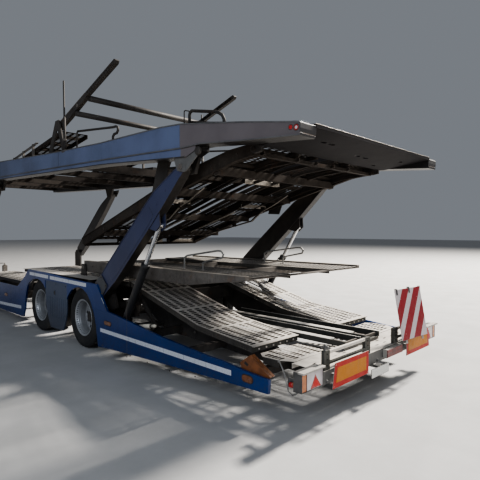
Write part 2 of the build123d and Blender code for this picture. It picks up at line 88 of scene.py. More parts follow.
# ------------------------------------------------------------------ material helpers
class Mat:
    """A node material on object coordinates, with short calls for the nodes it is built from."""

    def __init__(self, name):
        self.m = bpy.data.materials.new(name)
        self.m.use_nodes = True
        self.nt = self.m.node_tree
        self.nt.nodes.clear()
        self.out = self.nt.nodes.new("ShaderNodeOutputMaterial")
        self.bsdf = self.nt.nodes.new("ShaderNodeBsdfPrincipled")
        self.link(self.bsdf.outputs[0], self.out.inputs[0])
        tc = self.nt.nodes.new("ShaderNodeTexCoord")
        self.obj = tc.outputs["Object"]
        self.nrm = tc.outputs["Normal"]
        sep = self.nt.nodes.new("ShaderNodeSeparateXYZ")
        self.link(self.obj, sep.inputs[0])
        self.x, self.y, self.z = sep.outputs

    def link(self, a, b):
        self.nt.links.new(a, b)

    def put(self, sock, v):
        if isinstance(v, bpy.types.NodeSocket):
            self.link(v, sock)
        else:
            sock.default_value = v

    def fixed(self, **kw):
        for k, v in kw.items():
            self.bsdf.inputs[k.replace("_", " ")].default_value = v

    def scaled(self, s):
        n = self.nt.nodes.new("ShaderNodeVectorMath")
        n.operation = "MULTIPLY"
        self.link(self.obj, n.inputs[0])
        n.inputs[1].default_value = s
        return n.outputs[0]

    def noise(self, scale, detail=3.0, rough=0.55, stretch=None, distort=0.0):
        n = self.nt.nodes.new("ShaderNodeTexNoise")
        self.link(self.scaled(stretch) if stretch else self.obj, n.inputs["Vector"])
        n.inputs["Scale"].default_value = scale
        n.inputs["Detail"].default_value = detail
        n.inputs["Roughness"].default_value = rough
        n.inputs["Distortion"].default_value = distort
        return n.outputs[0]

    def cells(self, scale, feature="F1", stretch=None, out="Color"):
        n = self.nt.nodes.new("ShaderNodeTexVoronoi")
        n.feature = feature
        self.link(self.scaled(stretch) if stretch else self.obj, n.inputs["Vector"])
        n.inputs["Scale"].default_value = scale
        return n.outputs[out]

    def math(self, op, a, b=0.0, c=None, clamp=False):
        n = self.nt.nodes.new("ShaderNodeMath")
        n.operation = op
        n.use_clamp = clamp
        self.put(n.inputs[0], a)
        self.put(n.inputs[1], b)
        if c is not None:
            self.put(n.inputs[2], c)
        return n.outputs[0]

    def range(self, v, lo, hi, a=0.0, b=1.0, smooth=True):
        n = self.nt.nodes.new("ShaderNodeMapRange")
        n.interpolation_type = "SMOOTHSTEP" if smooth else "LINEAR"
        self.put(n.inputs["Value"], v)
        for k, w in (("From Min", lo), ("From Max", hi), ("To Min", a), ("To Max", b)):
            n.inputs[k].default_value = w
        return n.outputs[0]

    def mix(self, f, a, b):
        n = self.nt.nodes.new("ShaderNodeMix")
        n.data_type = "RGBA"
        self.put(n.inputs["Factor"], f)
        ca, cb = [s for s in n.inputs if s.type == "RGBA"]
        self.put(ca, a if isinstance(a, bpy.types.NodeSocket) else (*a, 1.0))
        self.put(cb, b if isinstance(b, bpy.types.NodeSocket) else (*b, 1.0))
        return [s for s in n.outputs if s.type == "RGBA"][0]

    def bump(self, height, strength=0.3, distance=0.002, normal=None):
        n = self.nt.nodes.new("ShaderNodeBump")
        n.inputs["Strength"].default_value = strength
        n.inputs["Distance"].default_value = distance
        self.link(height, n.inputs["Height"])
        if normal is not None:
            self.link(normal, n.inputs["Normal"])
        return n.outputs[0]

    def edges(self, radius=0.004):
        """(rounded normal, mask that is 1 along sharp edges)"""
        bev = self.nt.nodes.new("ShaderNodeBevel")
        bev.samples = 4
        bev.inputs["Radius"].default_value = radius
        geo = self.nt.nodes.new("ShaderNodeNewGeometry")
        dot = self.nt.nodes.new("ShaderNodeVectorMath")
        dot.operation = "DOT_PRODUCT"
        self.link(bev.outputs[0], dot.inputs[0])
        self.link(geo.outputs["Normal"], dot.inputs[1])
        return bev.outputs[0], self.range(dot.outputs["Value"], 0.995, 0.82)

    def facing_up(self):
        """1 where the surface looks up, in the piece's own frame."""
        sep = self.nt.nodes.new("ShaderNodeSeparateXYZ")
        self.link(self.nrm, sep.inputs[0])
        return self.range(sep.outputs[2], 0.3, 0.8)

    def facing_down(self):
        """1 where the surface looks down."""
        sep = self.nt.nodes.new("ShaderNodeSeparateXYZ")
        self.link(self.nrm, sep.inputs[0])
        return self.range(sep.outputs[2], -0.25, -0.75)

    def facing_side(self):
        sep = self.nt.nodes.new("ShaderNodeSeparateXYZ")
        self.link(self.nrm, sep.inputs[0])
        return self.range(self.math("ABSOLUTE", sep.outputs[0]), 0.5, 0.8)

    def outward(self):
        """1 where the surface looks away from the vehicle's middle plane, to its own side."""
        sep = self.nt.nodes.new("ShaderNodeSeparateXYZ")
        self.link(self.nrm, sep.inputs[0])
        return self.range(self.math("MULTIPLY", sep.outputs[0], self.math("SIGN", self.x)), 0.45, 0.75)

    def done(self, color, rough, normal=None):
        self.put(self.bsdf.inputs["Base Color"], color)
        self.put(self.bsdf.inputs["Roughness"], rough)
        if normal is not None:
            self.link(normal, self.bsdf.inputs["Normal"])
        return self.m


def paint(name, base, worn=(0.20, 0.19, 0.18), dirt=(0.13, 0.11, 0.09), dust_to=0.75, rough=0.34, wear=1.0, coat=0.25,
          inner=None, behind=None, spec=0.5):
    """Vehicle paint: tone changes, grime, chips along edges and fine scratches. inner is a darker tone given to the
    faces that look inward or down; behind = (Y, tone) gives the outer faces another tone behind that Y."""
    m = Mat(name)
    rounded, edge = m.edges(0.004)
    big = m.noise(1.3, 4.0, 0.6)
    fine = m.noise(34.0, 5.0, 0.65)
    shade = m.mix(m.range(big, 0.3, 0.7), tuple(c * 0.82 for c in base), tuple(min(1.0, c * 1.16) for c in base))
    if behind:
        back = m.range(m.y, behind[0] + SHIFT + 0.004, behind[0] + SHIFT - 0.004)
        shade = m.mix(back, shade, m.mix(m.range(big, 0.3, 0.7), tuple(c * 0.80 for c in behind[1]), tuple(c * 1.18 for c in behind[1])))
    # faces that do not look outward take the darker inner tone
    if inner:
        shade = m.mix(m.outward(), m.mix(m.range(m.noise(4.0, 6.0, 0.7), 0.32, 0.66), tuple(c * 0.55 for c in inner), tuple(c * 1.25 for c in inner)), shade)
    streak = m.range(m.noise(2.2, 6.0, 0.7, stretch=(9.0, 9.0, 0.55)), 0.52, 0.78)
    low = m.range(m.z, dust_to, 0.05)
    grime = m.math("MULTIPLY", m.math("ADD", m.math("MULTIPLY", streak, 0.34), m.math("MULTIPLY", low, 0.45)), m.range(fine, 0.25, 0.75))
    col = m.mix(grime, shade, dirt)
    chip = m.math("MULTIPLY", edge, m.range(m.noise(16.0, 5.0, 0.7), 0.50, 0.62))
    spot = m.range(m.noise(58.0, 3.0, 0.6), 0.745, 0.775)
    gone = m.math("MULTIPLY", m.math("MAXIMUM", chip, m.math("MULTIPLY", spot, 0.7)), wear, clamp=True)
    col = m.mix(gone, col, worn)
    scratch = m.range(m.noise(3.0, 8.0, 0.75, stretch=(1.0, 14.0, 90.0)), 0.66, 0.74)
    col = m.mix(m.math("MULTIPLY", scratch, 0.16 * wear), col, worn)
    r = m.math("ADD", m.math("MULTIPLY", grime, 0.45), m.math("ADD", m.math("MULTIPLY", fine, 0.14), rough - 0.07), clamp=True)
    h = m.math("ADD", m.math("MULTIPLY", m.noise(5.0, 2.0, 0.4), 1.0), m.math("MULTIPLY", fine, 0.10))
    h = m.math("SUBTRACT", h, m.math("MULTIPLY", gone, 0.25))
    m.fixed(Coat_Weight=coat, Coat_Roughness=0.18, Metallic=0.0, Specular_IOR_Level=spec)
    return m.done(col, r, m.bump(h, 0.35, 0.0035, rounded))


def bare(name, light, dark, rust=(0.17, 0.075, 0.03), rusty=0.35, metal=0.45, rough=0.52, spangle=0.16, dirt=0.5, spec=0.4, below=0.0):
    """Bare or galvanised steel: spangle, grey variation, run-down stains, rust at edges and in spots."""
    m = Mat(name)
    rounded, edge = m.edges(0.003)
    big = m.noise(1.7, 5.0, 0.62)
    mid = m.noise(11.0, 5.0, 0.68)
    col = m.mix(m.range(m.math("ADD", m.math("MULTIPLY", big, 0.6), m.math("MULTIPLY", mid, 0.4)), 0.33, 0.67), dark, light)
    cell = m.nt.nodes.new("ShaderNodeSeparateColor")
    m.link(m.cells(95.0), cell.inputs[0])
    col = m.mix(m.math("MULTIPLY", cell.outputs[0], spangle), col, tuple(min(1.0, c * 1.5) for c in light))
    stain = m.range(m.noise(3.4, 6.0, 0.72, stretch=(6.0, 6.0, 0.8)), 0.50, 0.78)
    col = m.mix(m.math("MULTIPLY", stain, dirt), col, tuple(c * 0.38 for c in dark))
    r1 = m.math("MULTIPLY", edge, m.range(mid, 0.40, 0.62))
    r2 = m.range(m.noise(7.0, 7.0, 0.72), 0.62 - 0.16 * rusty, 0.80 - 0.10 * rusty)
    rustm = m.math("MULTIPLY", m.math("MAXIMUM", r1, r2), min(1.0, rusty * 1.6), clamp=True)
    tone = m.mix(m.noise(60.0, 4.0, 0.7), tuple(c * 0.55 for c in rust), tuple(min(1.0, c * 1.55) for c in rust))
    col = m.mix(rustm, col, tone)
    # painted shade: faces that look down are pulled towards a deep tone of the dark colour, by the amount given in
    # below
    if below:
        col = m.mix(m.math("MULTIPLY", m.facing_down(), below), col, tuple(c * 0.30 for c in dark))
    rg = m.math("ADD", m.math("MULTIPLY", rustm, 0.30), m.math("ADD", m.math("MULTIPLY", mid, 0.22), rough - 0.11), clamp=True)
    if metal:
        m.put(m.bsdf.inputs["Metallic"], m.math("MULTIPLY", m.math("SUBTRACT", 1.0, rustm), metal))
    m.fixed(Specular_IOR_Level=spec)
    h = m.math("ADD", m.math("MULTIPLY", m.noise(48.0, 4.0, 0.7), 0.5), m.math("MULTIPLY", rustm, 0.5))
    return m.done(col, rg, m.bump(h, 0.30, 0.0016, rounded))


def rubber(name, base=(0.020, 0.020, 0.021), dust=(0.16, 0.145, 0.125), amount=0.45):
    m = Mat(name)
    n1 = m.noise(5.0, 5.0, 0.65)
    n2 = m.noise(80.0, 4.0, 0.7)
    d = m.math("MULTIPLY", m.range(m.math("ADD", m.math("MULTIPLY", n1, 0.65), m.math("MULTIPLY", n2, 0.35)), 0.40, 0.72), amount)
    col = m.mix(d, base, dust)
    return m.done(col, m.range(n2, 0.2, 0.8, 0.74, 0.95), m.bump(n2, 0.35, 0.0012))


def plastic(name, base, deep, rough=0.18, ribs=None, coat=0.6, trans=0.0, emit=0.0):
    """A lens or moulded plastic with fine ribs along one axis and some dirt."""
    m = Mat(name)
    n1 = m.noise(14.0, 4.0, 0.6)
    grime = m.range(m.noise(6.0, 6.0, 0.7), 0.56, 0.8)
    col = m.mix(m.range(n1, 0.3, 0.7), base, deep)
    col = m.mix(m.math("MULTIPLY", grime, 0.4), col, (0.10, 0.085, 0.07))
    axis, pitch = ribs or ("z", 0.006)
    wave = m.math("SINE", m.math("MULTIPLY", getattr(m, axis), 2 * math.pi / pitch))
    h = m.math("ADD", m.math("MULTIPLY", wave, 0.5 if ribs else 0.0), m.math("MULTIPLY", m.noise(120.0, 2.0), 0.15))
    m.fixed(Coat_Weight=coat, Coat_Roughness=0.08, Transmission_Weight=trans, IOR=1.49)
    return m.done(col, m.range(grime, 0.0, 1.0, rough, 0.55), m.bump(h, 0.25, 0.0008))


def sheeting(name, base, rough=0.28, dirt=0.35):
    """Reflective sheeting: small honeycomb cells under a clear face."""
    m = Mat(name)
    edge = m.range(m.cells(160.0, "DISTANCE_TO_EDGE", out="Distance"), 0.02, 0.12)
    col = m.mix(edge, tuple(c * 0.70 for c in base), base)
    n = m.noise(4.0, 6.0, 0.7, stretch=(4.0, 4.0, 0.8))
    col = m.mix(m.math("MULTIPLY", m.range(n, 0.52, 0.80), dirt), col, (0.12, 0.10, 0.08))
    m.fixed(Coat_Weight=0.12, Coat_Roughness=0.12, Specular_IOR_Level=0.18)
    return m.done(col, m.range(m.noise(20.0, 4.0), 0.3, 0.7, rough + 0.12, rough + 0.3), m.bump(edge, 0.12, 0.0004))


M = {
    "blue": paint("paint_blue", (0.002, 0.034, 0.160), rough=0.32, coat=0.10, spec=0.30, dirt=(0.060, 0.055, 0.050)),
    "arm_blue": paint("arm_blue", (0.042, 0.050, 0.105), dust_to=0.3, rough=0.42, coat=0.1, spec=0.35, inner=(0.028, 0.024, 0.022)),
    "grey_blue": paint("paint_grey_blue", (0.100, 0.126, 0.215), dust_to=0.2, rough=0.44, coat=0.05, spec=0.35, inner=(0.020, 0.018, 0.018), behind=(-2.175, (0.118, 0.104, 0.110))),
    "panel_grey": paint("paint_grey", (0.064, 0.084, 0.130), dust_to=0.7, rough=0.5, coat=0.05, spec=0.35),
    "beam_grey": bare("beam_grey", (0.16, 0.158, 0.155), (0.10, 0.098, 0.096), rusty=0.12, metal=0.25, rough=0.58, spangle=0.05, dirt=0.55),
    # pale warm track steel: dusty steel, made lighter and warmer as painted sunlight
    "track": bare("track_steel_dust_and_painted_sunlight", (0.62, 0.580, 0.530), (0.42, 0.388, 0.350), rusty=0.12, metal=0.25, rough=0.52, spangle=0.06, dirt=0.3),
    "galv": bare("steel_galvanised", (0.36, 0.35, 0.33), (0.20, 0.19, 0.18), rusty=0.20, metal=0.40, dirt=0.6),
    "steel": bare("steel_grey", (0.17, 0.155, 0.14), (0.075, 0.066, 0.06), rusty=0.40, metal=0.25, rough=0.6, dirt=0.6),
    "dark": bare("steel_dark", (0.060, 0.054, 0.050), (0.024, 0.021, 0.020), rust=(0.11, 0.060, 0.034), rusty=0.38, metal=0.1, rough=0.64, dirt=0.5, spec=0.25),
    "rusty": bare("steel_rusty", (0.052, 0.044, 0.038), (0.024, 0.020, 0.018), rust=(0.085, 0.052, 0.034), rusty=0.50, metal=0.0, rough=0.8, dirt=0.5, spec=0.08),
    "black": paint("cylinder_black", (0.016, 0.016, 0.018), worn=(0.12, 0.09, 0.07), dust_to=0.6, rough=0.4, coat=0.1),
    "tyre": rubber("tyre", amount=0.22),
    "rubber": rubber("black_rubber", amount=0.25),
    "red_lens": plastic("lamp_red", (0.42, 0.012, 0.010), (0.22, 0.006, 0.006), ribs=("z", 0.007)),
    "orange_lens": plastic("lamp_orange", (0.55, 0.16, 0.010), (0.38, 0.09, 0.006), ribs=("z", 0.007)),
    "black_plastic": plastic("black_plastic", (0.018, 0.018, 0.019), (0.03, 0.029, 0.028), rough=0.5, coat=0.05),
    "orange_plastic": plastic("orange_plastic", (0.25, 0.095, 0.034), (0.14, 0.052, 0.020), rough=0.5, coat=0.05),
    "yellow": sheeting("plate_yellow", (0.46, 0.165, 0.003)),
    "plate_red": sheeting("plate_red", (0.40, 0.010, 0.006)),
    "white_tape": sheeting("white_tape", (0.66, 0.68, 0.74), dirt=0.5),
    "white_plate": sheeting("plate_white", (0.62, 0.62, 0.60)),
    "board_red": sheeting("board_red", (0.205, 0.004, 0.012)),
    "board_white": sheeting("board_white", (0.42, 0.385, 0.405)),
    # darker steel for lips, ribs, turned edges and slot walls: some rust and dirt, its darkness painted shade on side
    # walls, undersides and inside the slots
    "lip": bare("track_edge_painted_shade", (0.100, 0.091, 0.082), (0.050, 0.045, 0.040), rusty=0.25, metal=0.25, rough=0.6, spangle=0.06, dirt=0.6),
    # a darker copy of the track steel for the middle platform under the upper deck: painted shade
    "track_painted_shade": bare("track_painted_shade", (0.30, 0.280, 0.255), (0.17, 0.156, 0.140), rusty=0.25, metal=0.25, rough=0.6, spangle=0.05, dirt=0.6),
    # rusty steel, with painted shade on the faces that look down
    "rusty_track_and_painted_shade_below": bare("rusty_track_and_painted_shade_below", (0.058, 0.047, 0.037), (0.027, 0.022, 0.018), rust=(0.085, 0.052, 0.034), rusty=0.40, metal=0.05, rough=0.75, spangle=0.04, dirt=0.5, spec=0.12, below=0.55),
    "worn_edge": bare("worn_edge", (0.44, 0.40, 0.35), (0.25, 0.22, 0.19), rusty=0.30, metal=0.35, rough=0.48, spangle=0.05, dirt=0.45),
    "beam_edge": bare("beam_edge", (0.15, 0.15, 0.155), (0.085, 0.084, 0.086), rusty=0.15, metal=0.2, rough=0.58, spangle=0.04, dirt=0.5),
    "beam_dark": bare("beam_dark", (0.060, 0.058, 0.062), (0.032, 0.031, 0.032), rusty=0.25, metal=0.2, rough=0.6, spangle=0.04, dirt=0.5),
    # near-black sheet steel: painted shade under the upper deck's tail
    "tail_sheet_painted_shade": bare("tail_sheet_painted_shade", (0.024, 0.022, 0.024), (0.012, 0.011, 0.012), rusty=0.12, metal=0.0, rough=0.75, spangle=0.02, dirt=0.5, spec=0.08),
    "hub": bare("wheel_hub", (0.075, 0.070, 0.066), (0.030, 0.027, 0.025), rusty=0.45, metal=0.3, rough=0.6, spangle=0.03, dirt=0.6),
    "lamp_body": plastic("lamp_body", (0.095, 0.092, 0.090), (0.055, 0.053, 0.052), rough=0.5, coat=0.05),
    "hood_grey": bare("hood_grey", (0.42, 0.40, 0.37), (0.26, 0.245, 0.225), rusty=0.12, metal=0.2, rough=0.55, spangle=0.03, dirt=0.5),
    "white_lens": plastic("lamp_white", (0.62, 0.585, 0.60), (0.50, 0.45, 0.47), ribs=("x", 0.009)),
    "red_reflex": sheeting("red_reflex", (0.55, 0.030, 0.025), dirt=0.2),
    "bar_red": plastic("bar_red", (0.17, 0.010, 0.010), (0.09, 0.006, 0.007), ribs=("x", 0.008), rough=0.42, coat=0.05),
    # dark rusty steel for the upper deck's undersides: rust, with its near-black tone and darker downward faces painted
    # shade
    "deck_underside_rust_and_painted_shade": bare("deck_underside_rust_and_painted_shade", (0.040, 0.034, 0.030), (0.018, 0.015, 0.014), rust=(0.060, 0.038, 0.026), rusty=0.45, metal=0.0, rough=0.8, spangle=0.03, dirt=0.5, spec=0.08, below=0.85),
    "root_plate": bare("root_plate", (0.105, 0.107, 0.116), (0.060, 0.061, 0.067), rusty=0.15, metal=0.2, rough=0.55, spangle=0.03, dirt=0.5),
    # dark steel for posts, the slopes' end plates and the stored ramps' channels: painted shade
    "post_steel_painted_shade": bare("post_steel_painted_shade", (0.075, 0.074, 0.066), (0.036, 0.036, 0.032), rusty=0.20, metal=0.2, rough=0.6, spangle=0.04, dirt=0.4),
    "amber_dark": plastic("lamp_amber_dark", (0.22, 0.085, 0.040), (0.13, 0.050, 0.026), ribs=("y", 0.007), coat=0.3),
    "cream_tube": paint("tube_cream", (0.66, 0.60, 0.50), worn=(0.20, 0.18, 0.16), dust_to=0.3, rough=0.45, coat=0.1),
    # pale steel for the stored ramps' top edges: painted highlight
    "ramp_edge_painted_highlight": bare("ramp_pale_painted_highlight", (0.64, 0.61, 0.57), (0.46, 0.435, 0.40), rusty=0.15, metal=0.15, rough=0.5, spangle=0.03, dirt=0.5),
}


def chrome():
    m = Mat("chrome_rod")
    n = m.noise(9.0, 5.0, 0.7, stretch=(1.0, 6.0, 6.0))
    m.fixed(Metallic=1.0)
    film = m.range(n, 0.55, 0.8)
    return m.done(m.mix(film, (0.72, 0.73, 0.75), (0.22, 0.19, 0.16)), m.range(n, 0.3, 0.8, 0.10, 0.42), m.bump(m.noise(90.0, 2.0), 0.05, 0.0004))


def rim_paint():
    m = Mat("rim_silver")
    rounded, edge = m.edges(0.003)
    n = m.noise(9.0, 6.0, 0.68)
    f = m.noise(70.0, 4.0, 0.7)
    ax = m.math("ABSOLUTE", m.x)
    deep = m.range(ax, 1.206, 1.165)         # darker deeper inside the dish
    col = m.mix(m.range(n, 0.3, 0.7), (0.50, 0.51, 0.53), (0.40, 0.41, 0.43))
    # patchy dirt everywhere, plus a darkening that grows deeper inside the dish
    dirt_and_dish_darkening = m.math("MULTIPLY", m.range(m.math("ADD", m.math("MULTIPLY", n, 0.6), m.math("MULTIPLY", f, 0.4)), 0.36, 0.66), m.math("ADD", m.math("MULTIPLY", deep, 0.30), 0.10), clamp=True)
    dirt_and_dish_darkening = m.math("MAXIMUM", dirt_and_dish_darkening, m.math("MULTIPLY", deep, 0.46))
    col = m.mix(dirt_and_dish_darkening, col, (0.070, 0.064, 0.062))
    chip = m.math("MULTIPLY", edge, m.range(f, 0.52, 0.66))
    col = m.mix(m.math("MULTIPLY", chip, 0.7), col, (0.16, 0.08, 0.04))
    m.put(m.bsdf.inputs["Metallic"], m.math("MULTIPLY", m.math("SUBTRACT", 1.0, dirt_and_dish_darkening), 0.55))
    return m.done(col, m.range(dirt_and_dish_darkening, 0.0, 1.0, 0.30, 0.75), m.bump(f, 0.22, 0.0012, rounded))


M["chrome"] = chrome()
M["rim"] = rim_paint()


# ------------------------------------------------------------------ mesh helpers
def P(x, y, z):
    """Axle-frame metres to the row frame."""
    return Vector((x, y + SHIFT, z))


class Build:
    """Collects solids of one piece, then makes one mesh object of them."""

    def __init__(self):
        self.bm = bmesh.new()
        self.mat = 0

    def faces(self, verts, faces, mat=None, smooth=False):
        vs = [self.bm.verts.new(v) for v in verts]
        out = []
        for f in faces:
            if len(set(f)) < 3:
                continue
            try:
                nf = self.bm.faces.new([vs[i] for i in f])
            except ValueError:
                continue
            nf.material_index = self.mat if mat is None else mat
            nf.smooth = smooth
            out.append(nf)
        return out

    def prism(self, pts3, vec, mat=None):
        """A polygon of 3-D points, extruded by a vector."""
        n = len(pts3)
        vec = Vector(vec)
        vs = [Vector(p) for p in pts3] + [Vector(p) + vec for p in pts3]
        fs = [list(range(n))[::-1], list(range(n, 2 * n))] + [[i, (i + 1) % n, n + (i + 1) % n, n + i] for i in range(n)]
        made = self.faces(vs, fs, mat)
        bmesh.ops.recalc_face_normals(self.bm, faces=made)
        return made

    def yz(self, pts, x0, x1, mat=None):
        return self.prism([P(x0, y, z) for y, z in pts], (x1 - x0, 0, 0), mat)

    def xz(self, pts, y0, y1, mat=None):
        return self.prism([P(x, y0, z) for x, z in pts], (0, y1 - y0, 0), mat)

    def box(self, x0, x1, y0, y1, z0, z1, mat=None):
        return self.prism([P(x0, y0, z0), P(x1, y0, z0), P(x1, y1, z0), P(x0, y1, z0)], (0, 0, z1 - z0), mat)

    def frame_at(self, axis):
        a = Vector(axis).normalized()
        t = Vector((0, 0, 1)) if abs(a.z) < 0.9 else Vector((1, 0, 0))
        u = a.cross(t).normalized()
        return a, u, a.cross(u).normalized()

    def turned(self, base, axis, profile, n=24, mat=None, smooth=True, cap=True):
        """A turned solid: (distance along the axis, radius) from base."""
        a, u, v = self.frame_at(axis)
        base = Vector(base)
        vs, fs = [], []
        for d, r in profile:
            for i in range(n):
                t = 2 * math.pi * i / n
                vs.append(base + a * d + (u * math.cos(t) + v * math.sin(t)) * r)
        for k in range(len(profile) - 1):
            for i in range(n):
                j = (i + 1) % n
                fs.append([k * n + i, k * n + j, (k + 1) * n + j, (k + 1) * n + i])
        made = self.faces(vs, fs, mat, smooth)
        if cap:
            vs2 = self.bm.verts
            vs2.ensure_lookup_table()
            first = len(vs2) - len(profile) * n
            for k in (0, len(profile) - 1):
                if profile[k][1] > 1e-6:
                    loop = [vs2[first + k * n + i] for i in range(n)]
                    try:
                        f = self.bm.faces.new(loop if k else loop[::-1])
                        f.material_index = self.mat if mat is None else mat
                        made.append(f)
                    except ValueError:
                        pass
        bmesh.ops.recalc_face_normals(self.bm, faces=made)
        return made

    def sheet(self, front, back, loops, mat=None, smooth=False, wall=None):
        """A sheet from matching front and back points and the loops of its front; every open edge gets a wall."""
        mat = self.mat if mat is None else mat
        new, face, made = self.bm.verts.new, self.bm.faces.new, []
        a = [new(p) for p in front]
        b = [new(p) for p in back]
        edges, walls = {}, []
        for loop in loops:
            made.append(face([a[i] for i in loop]))
            made.append(face([b[i] for i in reversed(loop)]))
            for i, j in zip(loop, loop[1:] + loop[:1]):
                edges.setdefault((min(i, j), max(i, j)), []).append((i, j))
        for both in edges.values():
            if len(both) == 1:
                i, j = both[0]
                walls.append(face([a[j], a[i], b[i], b[j]]))
        for f in made + walls:
            f.material_index = mat
            f.smooth = smooth
        if wall is not None:
            for f in walls:
                f.material_index = wall
        made += walls
        bmesh.ops.recalc_face_normals(self.bm, faces=made)
        return made

    def pierced(self, place, us, vs, hole, mat=None, wall=None):
        """A sheet on a (u, v) grid, w = 0 on its face and 1 on its back; hole(i, j) is the outline of that
        cell's hole about its middle, counter-clockwise, or None."""
        pts, loops = [], []
        for u in us:
            for v in vs:
                pts.append((u, v))
        nv = len(vs)
        for i in range(len(us) - 1):
            for j in range(nv - 1):
                c = [i * nv + j, (i + 1) * nv + j, (i + 1) * nv + j + 1, i * nv + j + 1]
                ring = hole(i, j)
                if not ring:
                    loops.append(c)
                    continue
                cu, cv = (us[i] + us[i + 1]) / 2, (vs[j] + vs[j + 1]) / 2
                first = len(pts)
                pts += [(cu + du, cv + dv) for du, dv in ring]
                corner = [(1 if du > 0 else 0) if dv < 0 else (2 if du > 0 else 3) for du, dv in ring]
                n = len(ring)
                for k in range(n):
                    l = (k + 1) % n
                    if corner[k] == corner[l]:
                        loops.append([c[corner[k]], first + l, first + k])
                    else:
                        loops.append([c[corner[k]], c[corner[l]], first + l, first + k])
        return self.sheet([place(u, v, 0) for u, v in pts], [place(u, v, 1) for u, v in pts], loops, mat, wall=wall)

    def rod(self, p, q, r, n=16, mat=None):
        p, q = Vector(p), Vector(q)
        return self.turned(p, q - p, [(0, r), ((q - p).length, r)], n, mat)

    def tube(self, pts, r, n=10, mat=None):
        """A bent round bar along points, with mitred corners."""
        pts = [Vector(p) for p in pts]
        rings, vs = [], []
        up = None
        for k, p in enumerate(pts):
            d0 = (p - pts[k - 1]).normalized() if k else (pts[1] - p).normalized()
            d1 = (pts[k + 1] - p).normalized() if k < len(pts) - 1 else d0
            t = (d0 + d1).normalized() if (d0 + d1).length > 1e-6 else d0
            if up is None:
                up = Vector((0, 0, 1)) if abs(t.z) < 0.9 else Vector((1, 0, 0))
            u = (up - t * up.dot(t)).normalized()
            v = t.cross(u)
            up = u
            stretch = 1.0 / max(0.5, math.sqrt(max(0.05, (1 + d0.dot(d1)) / 2)))
            bend = (d1 - d0)
            bend = bend.normalized() if bend.length > 1e-6 else None
            ring = []
            for i in range(n):
                a = 2 * math.pi * i / n
                o = (u * math.cos(a) + v * math.sin(a)) * r
                if bend is not None:
                    o += bend * (o.dot(bend)) * (stretch - 1)
                ring.append(len(vs))
                vs.append(p + o)
            rings.append(ring)
        fs = []
        for a, b in zip(rings, rings[1:]):
            for i in range(n):
                j = (i + 1) % n
                fs.append([a[i], a[j], b[j], b[i]])
        fs.append(rings[0][::-1])
        fs.append(rings[-1])
        made = self.faces(vs, fs, mat, True)
        bmesh.ops.recalc_face_normals(self.bm, faces=made)
        return made

    def bolt(self, p, axis, af=0.024, h=0.010, mat=None, washer=True):
        """A hexagon head on a washer."""
        r = af / math.sqrt(3)
        prof = []
        if washer:
            self.turned(p, axis, [(0.0, r * 1.30), (0.0022, r * 1.30)], 16, mat, False)
        base = Vector(p) + Vector(axis).normalized() * (0.0022 if washer else 0)
        self.turned(base, axis, [(0.0, r), (h * 0.8, r), (h, r * 0.82)], 6, mat, False)

    def make(self, name, body, mats, bevel=0.0, replaces=(), smooth_angle=None):
        me = bpy.data.meshes.new(name)
        self.bm.normal_update()
        self.bm.to_mesh(me)
        self.bm.free()
        ob = bpy.data.objects.new(name, me)
        scene.collection.objects.link(ob)
        for k in (mats if isinstance(mats, (list, tuple)) else [mats]):
            me.materials.append(M[k] if isinstance(k, str) else k)
        if bevel:
            b = ob.modifiers.new("bevel", "BEVEL")
            b.width = bevel
            b.segments = 2
            b.limit_method = "ANGLE"
            b.angle_limit = math.radians(40)
            b.harden_normals = False
        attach(ob, body)
        if replaces:
            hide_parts(*replaces)
        return ob


def dress(node, *keys):
    """Gives a CAD node its finish."""
    me = NODES[node].data
    me.materials.clear()
    for k in keys:
        me.materials.append(M[k] if isinstance(k, str) else k)
    for p in me.polygons:
        p.material_index = 0


def mirror_pts(pts, side):
    return [(x * side, y, z) for x, y, z in pts]


def along(line, y):
    pts = sorted(line)
    for p, q in zip(pts, pts[1:]):
        if y <= q[0] or q is pts[-1]:
            return p[1] + (q[1] - p[1]) * (y - p[0]) / (q[0] - p[0])


# ------------------------------------------------------------------ perforated wheel tracks
def oblong(a, b, c=None):
    """An oblong slot's outline, half length a, half width b."""
    c = b if c is None else c
    return [(a, -b * 0.55), (a, b * 0.55), (a - c * 0.85, b), (-a + c * 0.85, b), (-a, b * 0.55), (-a, -b * 0.55), (-a + c * 0.85, -b), (a - c * 0.85, -b)]


def circle(r, n=8):
    return [(r * math.cos(2 * math.pi * (k + 0.5) / n), r * math.sin(2 * math.pi * (k + 0.5) / n)) for k in range(n)]


def cuts(lo, hi, n, pitch):
    """Grid lines: a margin, n cells of one pitch, a margin."""
    m = ((hi - lo) - n * pitch) / 2
    return [lo] + [lo + m + k * pitch for k in range(n + 1)] + [hi]


class Line:
    """A side line of (Y, Z) points that can be walked by distance."""

    def __init__(self, pts):
        self.pts = pts
        self.s = [0.0]
        for p, q in zip(pts, pts[1:]):
            self.s.append(self.s[-1] + math.hypot(q[0] - p[0], q[1] - p[1]))
        self.length = self.s[-1]

    def at(self, s):
        for k in range(len(self.pts) - 1):
            if s <= self.s[k + 1] or k == len(self.pts) - 2:
                f = (s - self.s[k]) / (self.s[k + 1] - self.s[k])
                p, q = self.pts[k], self.pts[k + 1]
                return p[0] + (q[0] - p[0]) * f, p[1] + (q[1] - p[1]) * f

    def z(self, y):
        return along(self.pts, y)

    def band(self, up, down):
        return [(y, z + up) for y, z in self.pts] + [(y, z - down) for y, z in reversed(self.pts)]


SLOT = oblong(0.0350, 0.0142)


def rib(b, side, x0, x1, y, z, h=0.045, w=0.022, mat=0):
    """A folded channel across a track, open below; z is its top."""
    pts = [(y - w, z), (y + w, z), (y + w, z - h), (y + w - 0.004, z - h), (y + w - 0.004, z - 0.004), (y - w + 0.004, z - 0.004), (y - w + 0.004, z - h), (y - w, z - h)]
    b.yz(pts, side * x0, side * x1, mat)


